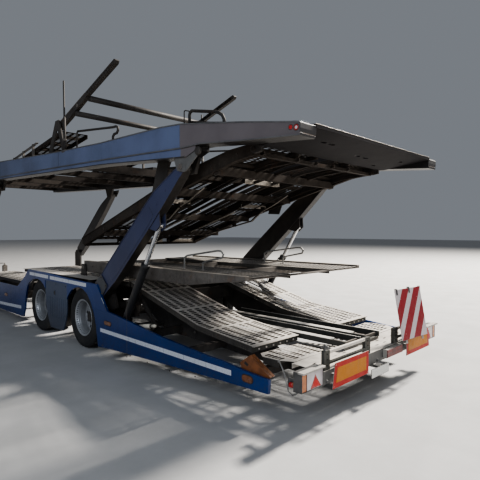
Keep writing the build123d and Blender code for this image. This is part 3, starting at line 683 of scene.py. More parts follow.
def wheel_track(b, side, line, x_in, x_out, cols=6, pitch=0.1070, row=0.0413, skin=0.0024, lip=0.058, wall=0.006,
                holed=False, ribs=0.52, plain=14, ends=0.030, slot=SLOT, inner=True):
    """One track: a pierced plate with turned-down edges and channel ribs below."""
    ln = Line(line)
    n = int((ln.length - 2 * ends) / row)
    us = cuts(x_in, x_out, cols, pitch)
    vs = cuts(0.0, ln.length, n, row)

    def place(u, v, w):
        y, z = ln.at(v)
        return P(side * u, y, z - skin * w)

    def hole(i, j):
        if 1 <= i <= cols and 1 <= j <= n and (not plain or j % plain):
            return slot
        return None

    # the slot walls take material 1, a darker steel than the face: painted shade inside the slots
    b.pierced(place, us, vs, hole, 0, wall=1)
    for k, x0 in enumerate((x_in, x_out - wall)):
        if k == 0 and not inner:
            continue
        if holed:
            nl = int((ln.length - 0.05) / 0.030)
            vv = cuts(0.0, ln.length, nl, 0.030)
            uu = [0.0065, 0.0125, 0.0335, 0.0545, lip]

            def wall_place(u, v, w, x0=x0):
                y, z = ln.at(v)
                return P(side * (x0 + wall * w), y, z - u)

            b.pierced(wall_place, uu, vv, lambda i, j: circle(0.0072) if i in (1, 2) and 1 <= j <= nl and j % 9 else None, 1)
        else:
            b.yz(ln.band(-skin - 0.0003, lip), side * (x0 + 0.0004), side * (x0 + wall - 0.0004), 1)
        # the edge turned in below
        x1 = x0 + wall if k == 0 else x0 - 0.016
        b.yz([(y, z - lip + 0.004) for y, z in ln.pts] + [(y, z - lip + 0.0002) for y, z in reversed(ln.pts)], side * x1, side * (x1 + 0.016), 1)
    if ribs:
        m = max(2, int(round(ln.length / ribs)))
        for k in range(m):
            y, z = ln.at(ln.length * (k + 0.5) / m)
            rib(b, side, x_in + wall, x_out - wall, y, z - skin - 0.0003, min(0.045, lip - 0.012), mat=1)
    return ln


SLOPE = [(-2.890, 0.508), (-2.120, 0.585), (-1.120, 0.850), (-0.850, 0.925)]
b = Build()
for side in (-1, 1):
    wheel_track(b, side, SLOPE, 0.350, 1.012, holed=True)
    # end plate with a folded edge where the slope meets the tail
    # the end plate takes the dark post steel: painted shade
    b.box(side * 0.356, side * 1.006, -2.8965, -2.8905, 0.452, 0.5015, 2)
    for k in range(6):
        b.bolt(P(side * (0.43 + k * 0.10), -2.8965, 0.474), (0, -1, 0), 0.013, 0.006, 0)
    b.box(side * 0.350, side * 1.012, -2.9100, -2.8905, 0.5020, 0.5078, 0)
b.make("track_slopes", "chassis", ["track", "lip", "post_steel_painted_shade"], replaces=("lower_rear_tracks",))

b = Build()
for side in (-1, 1):
    wheel_track(b, side, [(2.150, 0.925), (2.420, 0.640), (5.250, 0.640)], 0.350, 1.012)
b.make("track_front", "chassis", ["track", "lip"], replaces=("lower_front_tracks",))

b = Build()
for side in (-1, 1):
    wheel_track(b, side, [(-0.840, 0.925), (2.140, 0.925)], 0.350, 1.026)
    # plain deck plate beside the track, over the wheels, with lashing holes
    us = cuts(1.0262, 1.240, 1, 0.110)
    vs = cuts(-0.290, 2.140, 9, 0.260)
    b.pierced(lambda u, v, w: P(side * u, v, 0.925 - 0.003 * w), us, vs, lambda i, j: oblong(0.030, 0.013) if i == 1 and 1 <= j <= 9 else None, 0)
    for y in (-0.20, 0.55, 1.30, 2.05):
        rib(b, side, 1.0262, 1.238, y, 0.9218, 0.045, mat=1)
b.make("deck_over_wheels", "chassis", ["track", "lip"], replaces=("wheel_deck",))

# flat tail tracks: pierced up to the cut outer corner, edges turned down
TAIL_SLOT = oblong(0.0345, 0.0142)
b = Build()
for side in (-1, 1):
    front = lambda u: -2.9586 + (u - 0.350) * 0.06604
    us = cuts(0.350, 0.8845, 5, 0.1045)
    vs = cuts(0.0, 0.3335, 8, 0.0408)
    # slot walls take the darker edge steel: painted shade inside the slots
    b.pierced(lambda u, v, w: P(side * u, front(u) - v, 0.440 - 0.003 * w), us, vs, lambda i, j: TAIL_SLOT if 1 <= i <= 5 and 1 <= j <= 8 else None, 0, wall=1)
    us = cuts(0.8845, 0.9785, 1, 0.086)
    vs = cuts(0.062, 0.2660, 5, 0.0400)
    b.pierced(lambda u, v, w: P(side * u, front(u) - v, 0.440 - 0.003 * w), us, vs, lambda i, j: TAIL_SLOT if i == 1 and 1 <= j <= 5 else None, 0, wall=1)
    for pts in ([(240, -3300), (350, -3300), (350, -2959.7), (328, -2960), (240, -3200)],
                [(350, -3292.1), (884.5, -3256.8), (884.5, -3300), (350, -3300)],
                [(884.5, -2923.3), (935, -2920), (983, -2979.2), (978.5, -2979.1), (884.5, -2985.3)],
                [(884.5, -3189.3), (978.5, -3183.1), (988.9, -3183.1), (920, -3300), (884.5, -3300)],
                [(978.5, -2979.1), (983, -2979.2), (1000, -3000), (990, -3180), (988.9, -3183.1), (978.5, -3183.1)]):
        b.prism([P(side * x / 1000, y / 1000, 0.440) for x, y in pts], (0, 0, -0.003), 0)
    for x0, x1, y0, y1 in ((0.334, 0.340, -3.300, -2.960), (0.984, 0.990, -3.180, -3.000)):
        b.box(side * x0, side * x1, y0, y1, 0.374, 0.4368, 1)
    rib(b, side, 0.340, 0.984, -3.115, 0.4368, 0.050, mat=1)
b.make("track_tails", "chassis", ["track", "lip"], replaces=("tail_tracks",))

# tilting platform: two pierced strips a side, seen mostly from below
PLAT = [(-2.990, 2.332), (-2.600, 2.302), (-2.000, 2.185), (-1.400, 2.020), (0.440, 1.450)]
b = Build()
line = [(y, z - 0.020) for y, z in PLAT]
for side in (-1, 1):
    wheel_track(b, side, line, 0.150, 0.452, cols=3, pitch=0.090, slot=oblong(0.0300, 0.0137), skin=0.003, lip=0.040, wall=0.005, ribs=0)
    wheel_track(b, side, line, 0.458, 0.994, cols=5, pitch=0.098, slot=oblong(0.0325, 0.0137), skin=0.0024, lip=0.058, ribs=0)
    ln = Line(line)
    for k in range(8):
        y, z = ln.at(0.14 + k * (ln.length - 0.28) / 7)
        rib(b, side, 0.155, 0.988, y, z - 0.0033, 0.036, 0.018, mat=1)
b.make("tilt_tracks", "tilt_platform", ["rusty_track_and_painted_shade_below", "rusty"], replaces=("tilt_platform_tracks",))

# upper deck tracks and rear flaps
BEAM_BOT = [(-3.610, 2.246), (-3.000, 2.291), (-2.480, 2.338), (-2.170, 2.336), (-0.600, 2.402), (0.618, 2.445), (3.155, 2.527), (5.200, 2.600), (6.600, 2.655)]
BEAM_TOP = [(-3.610, 2.350), (-3.000, 2.454), (-2.590, 2.517), (-2.175, 2.578), (-1.850, 2.600), (-0.600, 2.621), (0.614, 2.671), (3.145, 2.812), (5.200, 2.920), (6.600, 2.988)]
b = Build()
for side in (-1, 1):
    wheel_track(b, side, [(y, along(BEAM_BOT, y) + 0.178) for y in (0.690, 3.155, 6.450)], 0.350, 1.012, ribs=0.8)
b.make("upper_tracks", "upper_deck", ["rusty_track_and_painted_shade_below", "deck_underside_rust_and_painted_shade"], replaces=("upper_front_tracks",))
b = Build()
for side in (-1, 1):
    wheel_track(b, side, [(-3.604, 2.366), (-3.150, 2.398)], 0.250, 1.070, cols=8, pitch=0.0985, row=0.047, slot=oblong(0.0325, 0.0133), lip=0.020, ribs=0, plain=0)
b.make("upper_flaps", "upper_deck", ["rusty_track_and_painted_shade_below", "rusty"], replaces=("upper_rear_flaps",))
b = Build()
for side in (-1, 1):
    wheel_track(b, side, [(1.180, 3.095), (3.440, 2.800)], 0.560, 1.000, cols=4, pitch=0.1040, row=0.047, lip=0.060, ribs=0.4)
b.make("fixed_ramp", "upper_deck", ["rusty_track_and_painted_shade_below", "rusty"], replaces=("upper_ramp",))

# middle platform
MID_SLOT = oblong(0.0320, 0.0138)
b = Build()
for side in (-1, 1):
    ln = Line([(-2.800, 1.106), (0.345, 1.106)])
    us, vs = cuts(0.350, 0.960, 6, 0.098), cuts(0.0, ln.length, 66, 0.047)
    # slot walls take the darker edge steel: painted shade inside the slots
    b.pierced(lambda u, v, w: P(side * u, ln.at(v)[0], 1.1120 - 0.003 * w), us, vs, lambda i, j: MID_SLOT if 1 <= i <= 6 and 1 <= j <= 66 and j % 12 else None, 0, wall=1)
    b.box(side * 0.350, side * 0.355, -2.800, 0.345, 1.066, 1.1088, 1)
    for k in range(6):
        y = -2.38 + k * 0.50
        rib(b, side, 0.355, 0.960, y, 1.1087, 0.042, mat=1)
# the middle platform's plate takes the darker copy of the track steel: painted shade
b.make("middle_tracks", "middle_platform", ["track_painted_shade", "lip"], replaces=("mid_platform_tracks",))

# ------------------------------------------------------------------ tyres
TREAD = [   # across the tyre from the middle (m), radius (m)
    (0.0000, 0.3975), (0.0130, 0.3975), (0.0145, 0.3880), (0.0205, 0.3880), (0.0220, 0.3972), (0.0420, 0.3965), (0.0435, 0.3868),
    (0.0495, 0.3866), (0.0510, 0.3960), (0.0620, 0.3952), (0.0740, 0.3932), (0.0815, 0.3895), (0.0862, 0.3835), (0.0890, 0.3780), (0.0935, 0.3660),
    (0.0975, 0.3520), (0.1010, 0.3360), (0.1012, 0.3320), (0.1024, 0.3300), (0.1024, 0.3255), (0.1012, 0.3235), (0.1015, 0.3080),
    (0.0998, 0.2900), (0.0962, 0.2740), (0.0925, 0.2650), (0.0930, 0.2610), (0.0895, 0.2540), (0.0835, 0.2465), (0.0800, 0.2430), (0.0798, 0.2260),
]


def tyre(b, x_mid, y_mid, n=132):
    prof = [(-x, r) for x, r in reversed(TREAD[1:])] + TREAD
    prof = prof + [(0.0700, 0.2235), (-0.0700, 0.2235)]
    base = P(x_mid, y_mid, 0.398)
    m = len(prof)
    rings = []
    for i in range(n):
        a = 2 * math.pi * (i + 0.5) / n
        ring = []
        for x, r in prof:
            cut = 0.0
            if i % 3 == 0 and 0.056 < abs(x) < 0.090:
                cut = 0.0070 if abs(x) < 0.084 else 0.0040
            elif i % 3 == 1 and 0.0215 < abs(x) < 0.0425:
                cut = 0.0022
            ring.append(b.bm.verts.new(base + Vector((x, math.cos(a) * (r - cut), math.sin(a) * (r - cut)))))
        rings.append(ring)
    made = []
    for i in range(n):
        p, q = rings[i], rings[(i + 1) % n]
        for k in range(m):
            l = (k + 1) % m
            f = b.bm.faces.new([p[k], p[l], q[l], q[k]])
            f.smooth = not (abs(prof[k][0]) < 0.088 and prof[k][1] > 0.37)
            f.material_index = 0
            made.append(f)
    bmesh.ops.recalc_face_normals(b.bm, faces=made)


# ------------------------------------------------------------------ rims, hub and drum
BARREL = [
    (0.0885, 0.2395), (0.0878, 0.2425), (0.0852, 0.2440), (0.0822, 0.2425), (0.0806, 0.2380), (0.0804, 0.2240), (0.0640, 0.2222), (0.0560, 0.2205), (-0.0560, 0.2205),
    (-0.0640, 0.2222), (-0.0804, 0.2240), (-0.0806, 0.2380), (-0.0822, 0.2425), (-0.0852, 0.2440), (-0.0878, 0.2425), (-0.0885, 0.2395), (-0.0876, 0.2290),
    (-0.0820, 0.2170), (-0.0700, 0.2120), (-0.0500, 0.2085), (-0.0200, 0.2065), (0.0240, 0.2065), (0.0300, 0.2080), (0.0330, 0.2120), (0.0520, 0.2130), (0.0570, 0.2145),
    (0.0600, 0.2185), (0.0760, 0.2195), (0.0800, 0.2215), (0.0832, 0.2280), (0.0862, 0.2340), (0.0878, 0.2365),
]


def ring_solid(b, base, side, prof, n=96, mat=0, smooth=True):
    """A closed profile of (outward along the axle, radius), turned round the wheel's axis."""
    rings = []
    for i in range(n):
        a = 2 * math.pi * i / n
        rings.append([b.bm.verts.new(base + Vector((side * x, math.cos(a) * r, math.sin(a) * r))) for x, r in prof])
    made, m = [], len(prof)
    for i in range(n):
        p, q = rings[i], rings[(i + 1) % n]
        for k in range(m):
            l = (k + 1) % m
            f = b.bm.faces.new([p[k], p[l], q[l], q[k]])
            f.smooth = smooth
            f.material_index = mat
            made.append(f)
    bmesh.ops.recalc_face_normals(b.bm, faces=made)


DISC_OUT = [(0.075, -0.0745), (0.128, -0.0745), (0.142, -0.0700), (0.152, -0.0610), (0.1795, -0.0470), (0.190, -0.0425), (0.2068, -0.0400)]
DISC_IN = [(0.075, -0.0875), (0.124, -0.0875), (0.139, -0.0830), (0.150, -0.0740), (0.1795, -0.0590), (0.190, -0.0540), (0.2068, -0.0510)]


def dished_disc(b, base, side, sign, n=80, mat=0):
    """The wheel disc with ten round hand holes. sign turns the dish in or out."""
    rs = [0.075, 0.088, 0.100, 0.112, 0.124, 0.134, 0.142, 0.1495, 0.157, 0.1655, 0.174, 0.1815, 0.190, 0.199, 0.2068]
    j0, span_r, span_a = 7, 4, 4
    rm, hr = (rs[j0] + rs[j0 + span_r]) / 2, (rs[j0 + span_r] - rs[j0]) / 2

    def spot(i, j):
        a, r = 2 * math.pi * i / n, rs[j]
        k = i % (n // 10)
        if k <= span_a and j0 <= j <= j0 + span_r and (k in (0, span_a) or j in (j0, j0 + span_r)):
            x, y = (k - span_a / 2) / (span_a / 2), (j - j0 - span_r / 2) / (span_r / 2)
            u, v = x * math.sqrt(1 - y * y / 2), y * math.sqrt(1 - x * x / 2)
            a = 2 * math.pi * (i - k + span_a / 2) / n + u * 0.0195 / rm
            r = rm + v * hr
        return a, r

    front, back, loops, idx = [], [], [], {}
    for i in range(n):
        for j in range(len(rs)):
            k = i % (n // 10)
            if 0 < k < span_a and j0 < j < j0 + span_r:
                continue
            a, r = spot(i, j)
            idx[i, j] = len(front)
            for out, line in ((front, DISC_OUT), (back, DISC_IN)):
                out.append(base + Vector((side * sign * along(line, r), math.cos(a) * r, math.sin(a) * r)))
    for i in range(n):
        for j in range(len(rs) - 1):
            k = i % (n // 10)
            if k < span_a and j0 <= j < j0 + span_r:
                continue
            i2 = (i + 1) % n
            loops.append([idx[i, j], idx[i2, j], idx[i2, j + 1], idx[i, j + 1]])
    b.sheet(front, back, loops, mat, smooth=True)


def wheel(name, y, side):
    b = Build()
    for x in (1.1295, 0.8815):
        tyre(b, side * x, y)
    b.make("tyre_pair_" + name, "wheel_" + name, ["tyre"], replaces=("tyres_" + name,))
    b = Build()
    outer, inner = P(side * 1.1295, y, 0.398), P(side * 0.8815, y, 0.398)
    for base in (outer, inner):
        ring_solid(b, base, side, BARREL)
    dished_disc(b, outer, side, 1)
    dished_disc(b, inner, side, -1)
    ax = Vector((side, 0, 0))
    # hub: flange, barrel with a step, grease cap
    b.turned(outer - ax * 0.110, ax, [(0.0, 0.052), (0.0, 0.098), (0.0220, 0.098), (0.0355, 0.0975), (0.0400, 0.088), (0.0440, 0.0845), (0.0860, 0.0800), (0.0900, 0.0770), (0.0905, 0.0700)], 48, 0)
    b.turned(outer - ax * 0.0200, ax, [(0.0, 0.0705), (0.0020, 0.0735), (0.0060, 0.0735), (0.0080, 0.0690), (0.0090, 0.0640), (0.0120, 0.0625), (0.0190, 0.0610), (0.0215, 0.0560), (0.0225, 0.0400), (0.0215, 0.0150)], 48, 1)
    for k in range(10):
        a = 2 * math.pi * (k + 0.5) / 10
        p = outer + Vector((-side * 0.0745, math.cos(a) * 0.1125, math.sin(a) * 0.1125))
        b.bolt(p, ax, af=0.030, h=0.021, mat=0)
        b.turned(p + ax * 0.0220, ax, [(0.0, 0.0100), (0.0120, 0.0100), (0.0135, 0.0085)], 10, 0)
    for k in range(6):
        a = 2 * math.pi * (k + 0.25) / 6
        b.bolt(outer + Vector((-side * 0.0120, math.cos(a) * 0.0660, math.sin(a) * 0.0660)) , ax, af=0.010, h=0.006, mat=1, washer=False)
    # valve stem through a hand hole
    a = math.radians(198)
    c, s = math.cos(a), math.sin(a)
    b.tube([outer + Vector((side * -0.030, c * 0.196, s * 0.196)), outer + Vector((side * -0.004, c * 0.190, s * 0.190)), outer + Vector((side * 0.030, c * 0.190, s * 0.190))], 0.0042, 8, 1)
    # brake drum behind the inner rim
    ring_solid(b, inner, side, [(-0.095, 0.150), (-0.095, 0.170), (-0.080, 0.172), (0.050, 0.172), (0.060, 0.168), (0.070, 0.160), (0.070, 0.046), (0.150, 0.046), (0.150, 0.100), (0.0885, 0.100), (0.080, 0.100), (0.080, 0.1745), (-0.099, 0.1745), (-0.099, 0.150)], 64, 2)
    b.make("rim_pair_" + name, "wheel_" + name, ["rim", "hub", "dark"], replaces=("rims_" + name,))


for name, y, side in (("rear_left", 0.0, -1), ("rear_right", 0.0, 1), ("front_left", 1.431, -1), ("front_right", 1.431, 1)):
    wheel(name, y, side)

# ------------------------------------------------------------------ tail
TAIL_Y = -3.622
b = Build()
b.box(-0.980, 0.980, TAIL_Y, -3.500, 0.330, 0.4350, 0)
b.pierced(lambda u, v, w: P(u, v, 0.440 - 0.004 * w), cuts(-0.980, 0.980, 12, 0.155), [-3.622, -3.565, -3.485, -3.405, -3.310],
          lambda i, j: oblong(0.028, 0.0085) if 1 <= i <= 12 and j in (1, 2) else None, 1)
b.box(-0.340, 0.315, -3.420, -3.380, 0.4402, 0.470, 0)
b.box(-0.978, 0.978, -3.3160, -3.3102, 0.396, 0.4358, 1)
for s in (-1, 1):
    # upstand frames: two posts with lightening holes, a square top rail and a lower rail
    # the posts and the lower rail take the dark post steel: painted shade
    for x0, x1, top in ((0.232, 0.324, 0.590), (0.884, 0.963, 0.597)):
        us = [x0, x0 + 0.014, x1 - 0.014, x1]
        vs = [0.4402, 0.4500, 0.4950, 0.5400, top - 0.012, top] if top < 0.595 else [0.4402, 0.4520, 0.4980, 0.5440, top - 0.010, top]
        b.pierced(lambda u, v, w: P(s * u, TAIL_Y + 0.030 * w, v), us, vs, lambda i, j: circle(0.0080, 10) if i == 1 and j in (1, 2, 3) else None, 3)
    b.box(s * 0.324, s * 0.884, TAIL_Y, TAIL_Y + 0.0220, 0.565, 0.590, 1)
    b.box(s * 0.324, s * 0.884, TAIL_Y, TAIL_Y + 0.0220, 0.480, 0.500, 3)
    # stop plate and latch at the outer post
    b.xz([(s * 0.900, 0.592), (s * 0.948, 0.592), (s * 0.940, 0.640), (s * 0.908, 0.640)], TAIL_Y + 0.004, TAIL_Y + 0.014, 0)
    b.rod(P(s * 0.924, TAIL_Y + 0.024, 0.622), P(s * 0.924, TAIL_Y - 0.012, 0.622), 0.0085, 12, 0)
    for x in (0.10, 0.30, 0.52, 0.74, 0.93):
        b.bolt(P(s * x, TAIL_Y, 0.352), (0, -1, 0), 0.019, 0.009, 0)
b.make("tail_beam", "chassis", ["beam_grey", "track", "lip", "post_steel_painted_shade"], bevel=0.0016, replaces=("rear_beam",))

# lamp units at the ends of the beam
b = Build()
for s in (-1, 1):
    b.box(s * 0.9805, s * 1.260, -3.606, -3.545, 0.334, 0.4875, 0)
    for x0, x1, z0, z1 in ((0.9805, 1.260, 0.334, 0.3405), (0.9805, 1.260, 0.4815, 0.4875), (0.9805, 0.9865, 0.3405, 0.4815), (1.254, 1.260, 0.3405, 0.4815), (1.1945, 1.1985, 0.3405, 0.4815)):
        b.box(s * x0, s * x1, -3.6255, -3.6058, z0, z1, 0)
    b.box(s * 0.987, s * 1.194, -3.6225, -3.6062, 0.341, 0.481, 1)
    b.box(s * 1.199, s * 1.2535, -3.6225, -3.6062, 0.341, 0.481, 2)
    b.xz([(s * 1.148, 0.344), (s * 1.012, 0.344), (s * 1.085, 0.444)], -3.6245, -3.6221, 3)
    b.xz([(s * 1.128, 0.3535), (s * 1.034, 0.3535), (s * 1.0845, 0.4255)], -3.6250, -3.6242, 4)
    # hood with turned-down edges, on two brackets
    b.box(s * 0.985, s * 1.2748, -3.650, -3.596, 0.4925, 0.496, 5)
    b.box(s * 0.985, s * 1.2748, -3.650, -3.6475, 0.482, 0.4926, 5)
    b.box(s * 1.2720, s * 1.2748, -3.6475, -3.596, 0.482, 0.4926, 5)
    b.box(s * 0.985, s * 0.988, -3.6475, -3.596, 0.482, 0.4926, 5)
    for x in (1.02, 1.20):
        b.box(s * (x - 0.015), s * (x + 0.015), -3.6055, -3.5965, 0.4874, 0.4926, 0)
    # side marker lamps on a plate ahead of the housing
    b.box(s * 1.190, s * 1.196, -3.5455, -3.440, 0.330, 0.405, 0)
    for y, z, m in ((-3.482, 0.358, 3), (-3.5215, 0.372, 2)):
        b.turned(P(s * 1.196, y, z), (s, 0, 0), [(0.0, 0.0225), (0.010, 0.0225), (0.011, 0.0205), (0.018, 0.0195), (0.0215, 0.0150), (0.0225, 0.0060)], 24, m)
        b.turned(P(s * 1.196, y, z), (s, 0, 0), [(0.0, 0.0250), (0.0075, 0.0250), (0.0085, 0.0235)], 24, 6)
# lamp bar right of the middle: case with a clear top and a red lens
b.box(0.010, 0.340, -3.662, TAIL_Y - 0.0002, 0.349, 0.428, 5)
for xa, xb in ((0.016, 0.118), (0.1195, 0.230), (0.2315, 0.334)):
    b.box(xa, xb, -3.6675, -3.6615, 0.353, 0.4225, 7)
b.box(0.016, 0.334, -3.6682, -3.6615, 0.3890, 0.3915, 6)
for x in (0.060, 0.175, 0.290):
    b.bolt(P(x, -3.644, 0.428), (0, 0, 1), 0.009, 0.004, 5, False)
b.make("tail_lamp_units", "chassis", ["lamp_body", "white_lens", "orange_lens", "red_lens", "red_reflex", "hood_grey", "black_plastic", "bar_red"], bevel=0.0007, replaces=("tail_lamps",))

# long rear plates: metal back, red border sheet, yellow middle, rivets
b = Build()
for s in (-1, 1):
    b.xz([(s * 0.380, 0.305), (s * 0.945, 0.305), (s * 0.906, 0.505), (s * 0.380, 0.505)], -3.6862, -3.6820, 0)
    b.xz([(s * 0.3815, 0.3065), (s * 0.9432, 0.3065), (s * 0.9048, 0.5035), (s * 0.3815, 0.5035)], -3.6870, -3.6860, 1)
    b.xz([(s * 0.4220, 0.3470), (s * 0.8950, 0.3470), (s * 0.8720, 0.4630), (s * 0.4220, 0.4630)], -3.6878, -3.6868, 2)
    for x, z in ((0.396, 0.322), (0.396, 0.488), (0.924, 0.322), (0.893, 0.488)):
        b.turned(P(s * x, -3.6869, z), (0, -1, 0), [(0.0, 0.0052), (0.0006, 0.0050), (0.0010, 0.0030)], 12, 0)
    b.box(s * 0.600, s * 0.640, -3.6822, TAIL_Y - 0.0002, 0.380, 0.410, 0)
    for x in (0.47, 0.85):
        b.box(s * (x - 0.014), s * (x + 0.014), -3.6822, TAIL_Y - 0.0002, 0.3985, 0.4025, 0)
b.make("rear_marker_plates", "chassis", ["galv", "plate_red", "yellow"], replaces=("marker_plates",))

# blank number plate in a black frame, with its lamp
b = Build()
b.box(-0.330, 0.000, -3.6890, -3.6840, 0.240, 0.322, 0)
b.box(-0.3265, -0.0035, -3.68985, -3.6888, 0.2435, 0.3185, 1)
b.box(-0.180, -0.150, -3.6842, -3.560, 0.3002, 0.330, 2)
b.box(-0.215, -0.115, -3.6840, -3.640, 0.3225, 0.334, 0)
b.make("blank_number_plate", "chassis", ["black_plastic", "white_plate", "galv"], bevel=0.0004, replaces=("number_plate",))


# ------------------------------------------------------------------ leaning board with red stripes
def clip(poly, size):
    """A convex polygon cut to the square 0..size."""
    for axis, bound, keep_less in ((0, 0.0, False), (0, size, True), (1, 0.0, False), (1, size, True)):
        out = []
        for k, p in enumerate(poly):
            q = poly[(k + 1) % len(poly)]
            pin = (p[axis] <= bound) if keep_less else (p[axis] >= bound)
            qin = (q[axis] <= bound) if keep_less else (q[axis] >= bound)
            if pin:
                out.append(p)
            if pin != qin:
                t = (bound - p[axis]) / (q[axis] - p[axis])
                out.append((p[0] + (q[0] - p[0]) * t, p[1] + (q[1] - p[1]) * t))
        poly = out
    return poly


BO = P(0.270, -3.696, 0.470)
BX = Vector((0.499, -0.042, 0.0)).normalized()
BN = Vector((-0.0825, -0.9796, 0.1827)).normalized()
BY = BN.cross(BX).normalized()
BN = BX.cross(BY).normalized()


def on_board(u, v, w):
    return BO + BX * u + BY * v + BN * w


def board_slab(b, pts, w0, w1, mat):
    b.prism([on_board(u, v, w0) for u, v in pts], BN * (w1 - w0), mat)


def rect(u0, u1, v0, v1):
    return [(u0, v0), (u1, v0), (u1, v1), (u0, v1)]


b = Build()
board_slab(b, rect(0.0, 0.5, 0.0, 0.5), -0.0040, -0.0009, 0)
board_slab(b, rect(0.0008, 0.4992, 0.0008, 0.4992), -0.0010, -0.0005, 1)
for u0, u1 in ((-0.221, -0.093), (0.005, 0.133), (0.226, 0.358)):
    p = clip([(u0, 0.0), (u1, 0.0), (u1 + 0.37, 0.5), (u0 + 0.37, 0.5)], 0.5)
    p = [(min(0.4988, max(0.0012, u)), min(0.4988, max(0.0012, v))) for u, v in p]
    if len(p) > 2:
        board_slab(b, p, -0.0006, -0.0001, 2)
# frame bars behind it, straps and clamps
for u in (0.085, 0.400):
    board_slab(b, rect(u - 0.018, u + 0.018, -0.035, 0.470), -0.0085, -0.0042, 3)
for v in (0.060, 0.400):
    board_slab(b, rect(0.055, 0.430, v - 0.014, v + 0.014), -0.0125, -0.0087, 3)
for u, v in ((0.085, 0.060), (0.400, 0.060), (0.085, 0.400), (0.400, 0.400)):
    b.bolt(on_board(u, v, -0.0005), BN, 0.011, 0.0004, 3, False)
for u, v in ((0.037, 0.474), (0.274, 0.478)):
    board_slab(b, rect(u - 0.016, u + 0.016, v - 0.030, v + 0.030), -0.0005, -0.00005, 4)
    board_slab(b, rect(u - 0.014, u + 0.014, v + 0.022, v + 0.034), -0.0160, -0.0041, 4)
b.box(0.420, 0.460, -3.6820, TAIL_Y - 0.0002, 0.567, 0.588, 3)
board_slab(b, rect(0.080, 0.250, 0.086, 0.132), -0.0165, -0.0043, 3)
# carrying hook at the upper right corner
b.tube([on_board(0.455, 0.490, -0.012), on_board(0.500, 0.506, -0.013), on_board(0.522, 0.497, -0.015), on_board(0.522, 0.476, -0.017), on_board(0.508, 0.466, -0.017)], 0.0065, 10, 5)
b.make("warning_board", "chassis", ["galv", "board_white", "board_red", "galv", "black_plastic", "hood_grey"], replaces=("striped_board",))

# ------------------------------------------------------------------ ramps stored flat between the tracks
b = Build()
for x0, x1 in ((-0.335, -0.055), (0.030, 0.310)):
    us, vs = cuts(x0 + 0.006, x1 - 0.006, 3, 0.080), cuts(-3.430, -1.450, 30, 0.062)
    b.pierced(lambda u, v, w: P(u, v, 0.4755 - 0.005 * w), us, vs, lambda i, j: oblong(0.028, 0.0150) if 1 <= i <= 3 and 1 <= j <= 30 else None, 0)
    for xa, xb in ((x0, x0 + 0.0055), (x1 - 0.0055, x1)):
        b.box(xa, xb, -3.430, -1.450, 0.4705, 0.5205, 0)
    # flange turned in along the left wall, rolled edge along the right one, lock plate at the rear end
    # the pale flange and rolled edge are painted highlight along the ramps' tops; the dark floor and walls are painted
    # shade
    b.box(x0, x0 + 0.075, -3.262, -1.450, 0.5205, 0.5248, 1)
    b.box(x0, x0 + 0.030, -3.430, -3.300, 0.5205, 0.5240, 2)
    b.box(x1 - 0.010, x1, -3.430, -1.450, 0.5205, 0.5245, 1)
    b.rod(P(x0 + 0.010, -3.290, 0.512), P(x0 + 0.060, -3.290, 0.512), 0.010, 12, 2)
    b.box(x0 + 0.0055, x1 - 0.0055, -3.400, -3.385, 0.4760, 0.5100, 2)
b.make("stored_ramp_channels", "chassis", ["post_steel_painted_shade", "ramp_edge_painted_highlight", "steel"], replaces=("stored_ramps",))

# ------------------------------------------------------------------ orange wheel chock in its holder, thin stay, white tube
b = Build()
CH = [(-2.957, 0.430), (-3.073, 0.511), (-3.301, 0.377), (-3.227, 0.329), (-2.983, 0.369)]
for k in range(4):
    x0 = -1.236 + k * 0.0164
    b.yz([(y + (0.004 if k % 2 else 0), z) for y, z in CH], x0, x0 + 0.0104, 0)
b.yz([(y * 0.82 - 0.560, z * 0.82 + 0.0730) for y, z in CH], -1.2355, -1.1765, 2)
b.yz([(-3.060, 0.432), (-3.020, 0.452), (-3.005, 0.430), (-3.045, 0.412)], -1.2375, -1.2358, 1)
b.yz([(-3.000, 0.366), (-3.250, 0.3262), (-3.250, 0.3222), (-2.985, 0.3622), (-2.978, 0.400), (-2.982, 0.400)], -1.222, -1.190, 2)
b.box(-1.222, -1.190, -3.070, -3.030, 0.300, 0.346, 2)
b.make("wheel_chock", "chassis", ["orange_plastic", "black_plastic", "dark"], bevel=0.0012)

b = Build()
b.tube([P(-0.9905, -3.186, 0.4325), P(-0.9905, -3.238, 0.350), P(-0.9905, -3.287, 0.200), P(-0.9905, -3.330, 0.178), P(-0.9905, -3.420, 0.236), P(-0.972, -3.515, 0.3345)], 0.0062, 10, 0)
b.turned(P(-0.9905, -3.180, 0.4325), (0, 0, 1), [(-0.010, 0.0105), (0.0105, 0.0105)], 12, 0)
for s in (-1,):
    # white tube held along the arm brackets
    t0, t1 = P(s * 1.200, -1.270, 0.468), P(s * 1.200, -1.662, 0.536)
    td = (t1 - t0).normalized()
    b.turned(t0, td, [(0.000, 0.006), (0.006, 0.013), (0.052, 0.013)], 18, 1)
    b.turned(t0 + td * 0.050, td, [(0.000, 0.0215), (0.040, 0.0215)], 18, 2)
    b.turned(t0 + td * 0.088, td, [(0.000, 0.0270), (0.215, 0.0240)], 24, 1)
    b.turned(t0 + td * 0.301, td, [(0.000, 0.0215), (0.026, 0.0215)], 18, 2)
    b.turned(t0 + td * 0.325, td, [(0.000, 0.0190), (0.052, 0.0190), (0.062, 0.0150), (0.070, 0.0070)], 18, 1)
    for d in (0.070, 0.312):
        p = t0 + td * d
        b.box(s * 1.192, s * 1.208, p.y - SHIFT - 0.010, p.y - SHIFT + 0.010, 0.330, p.z - 0.010, 2)
b.make("tail_stay_and_tube", "chassis", ["galv", "cream_tube", "dark"])

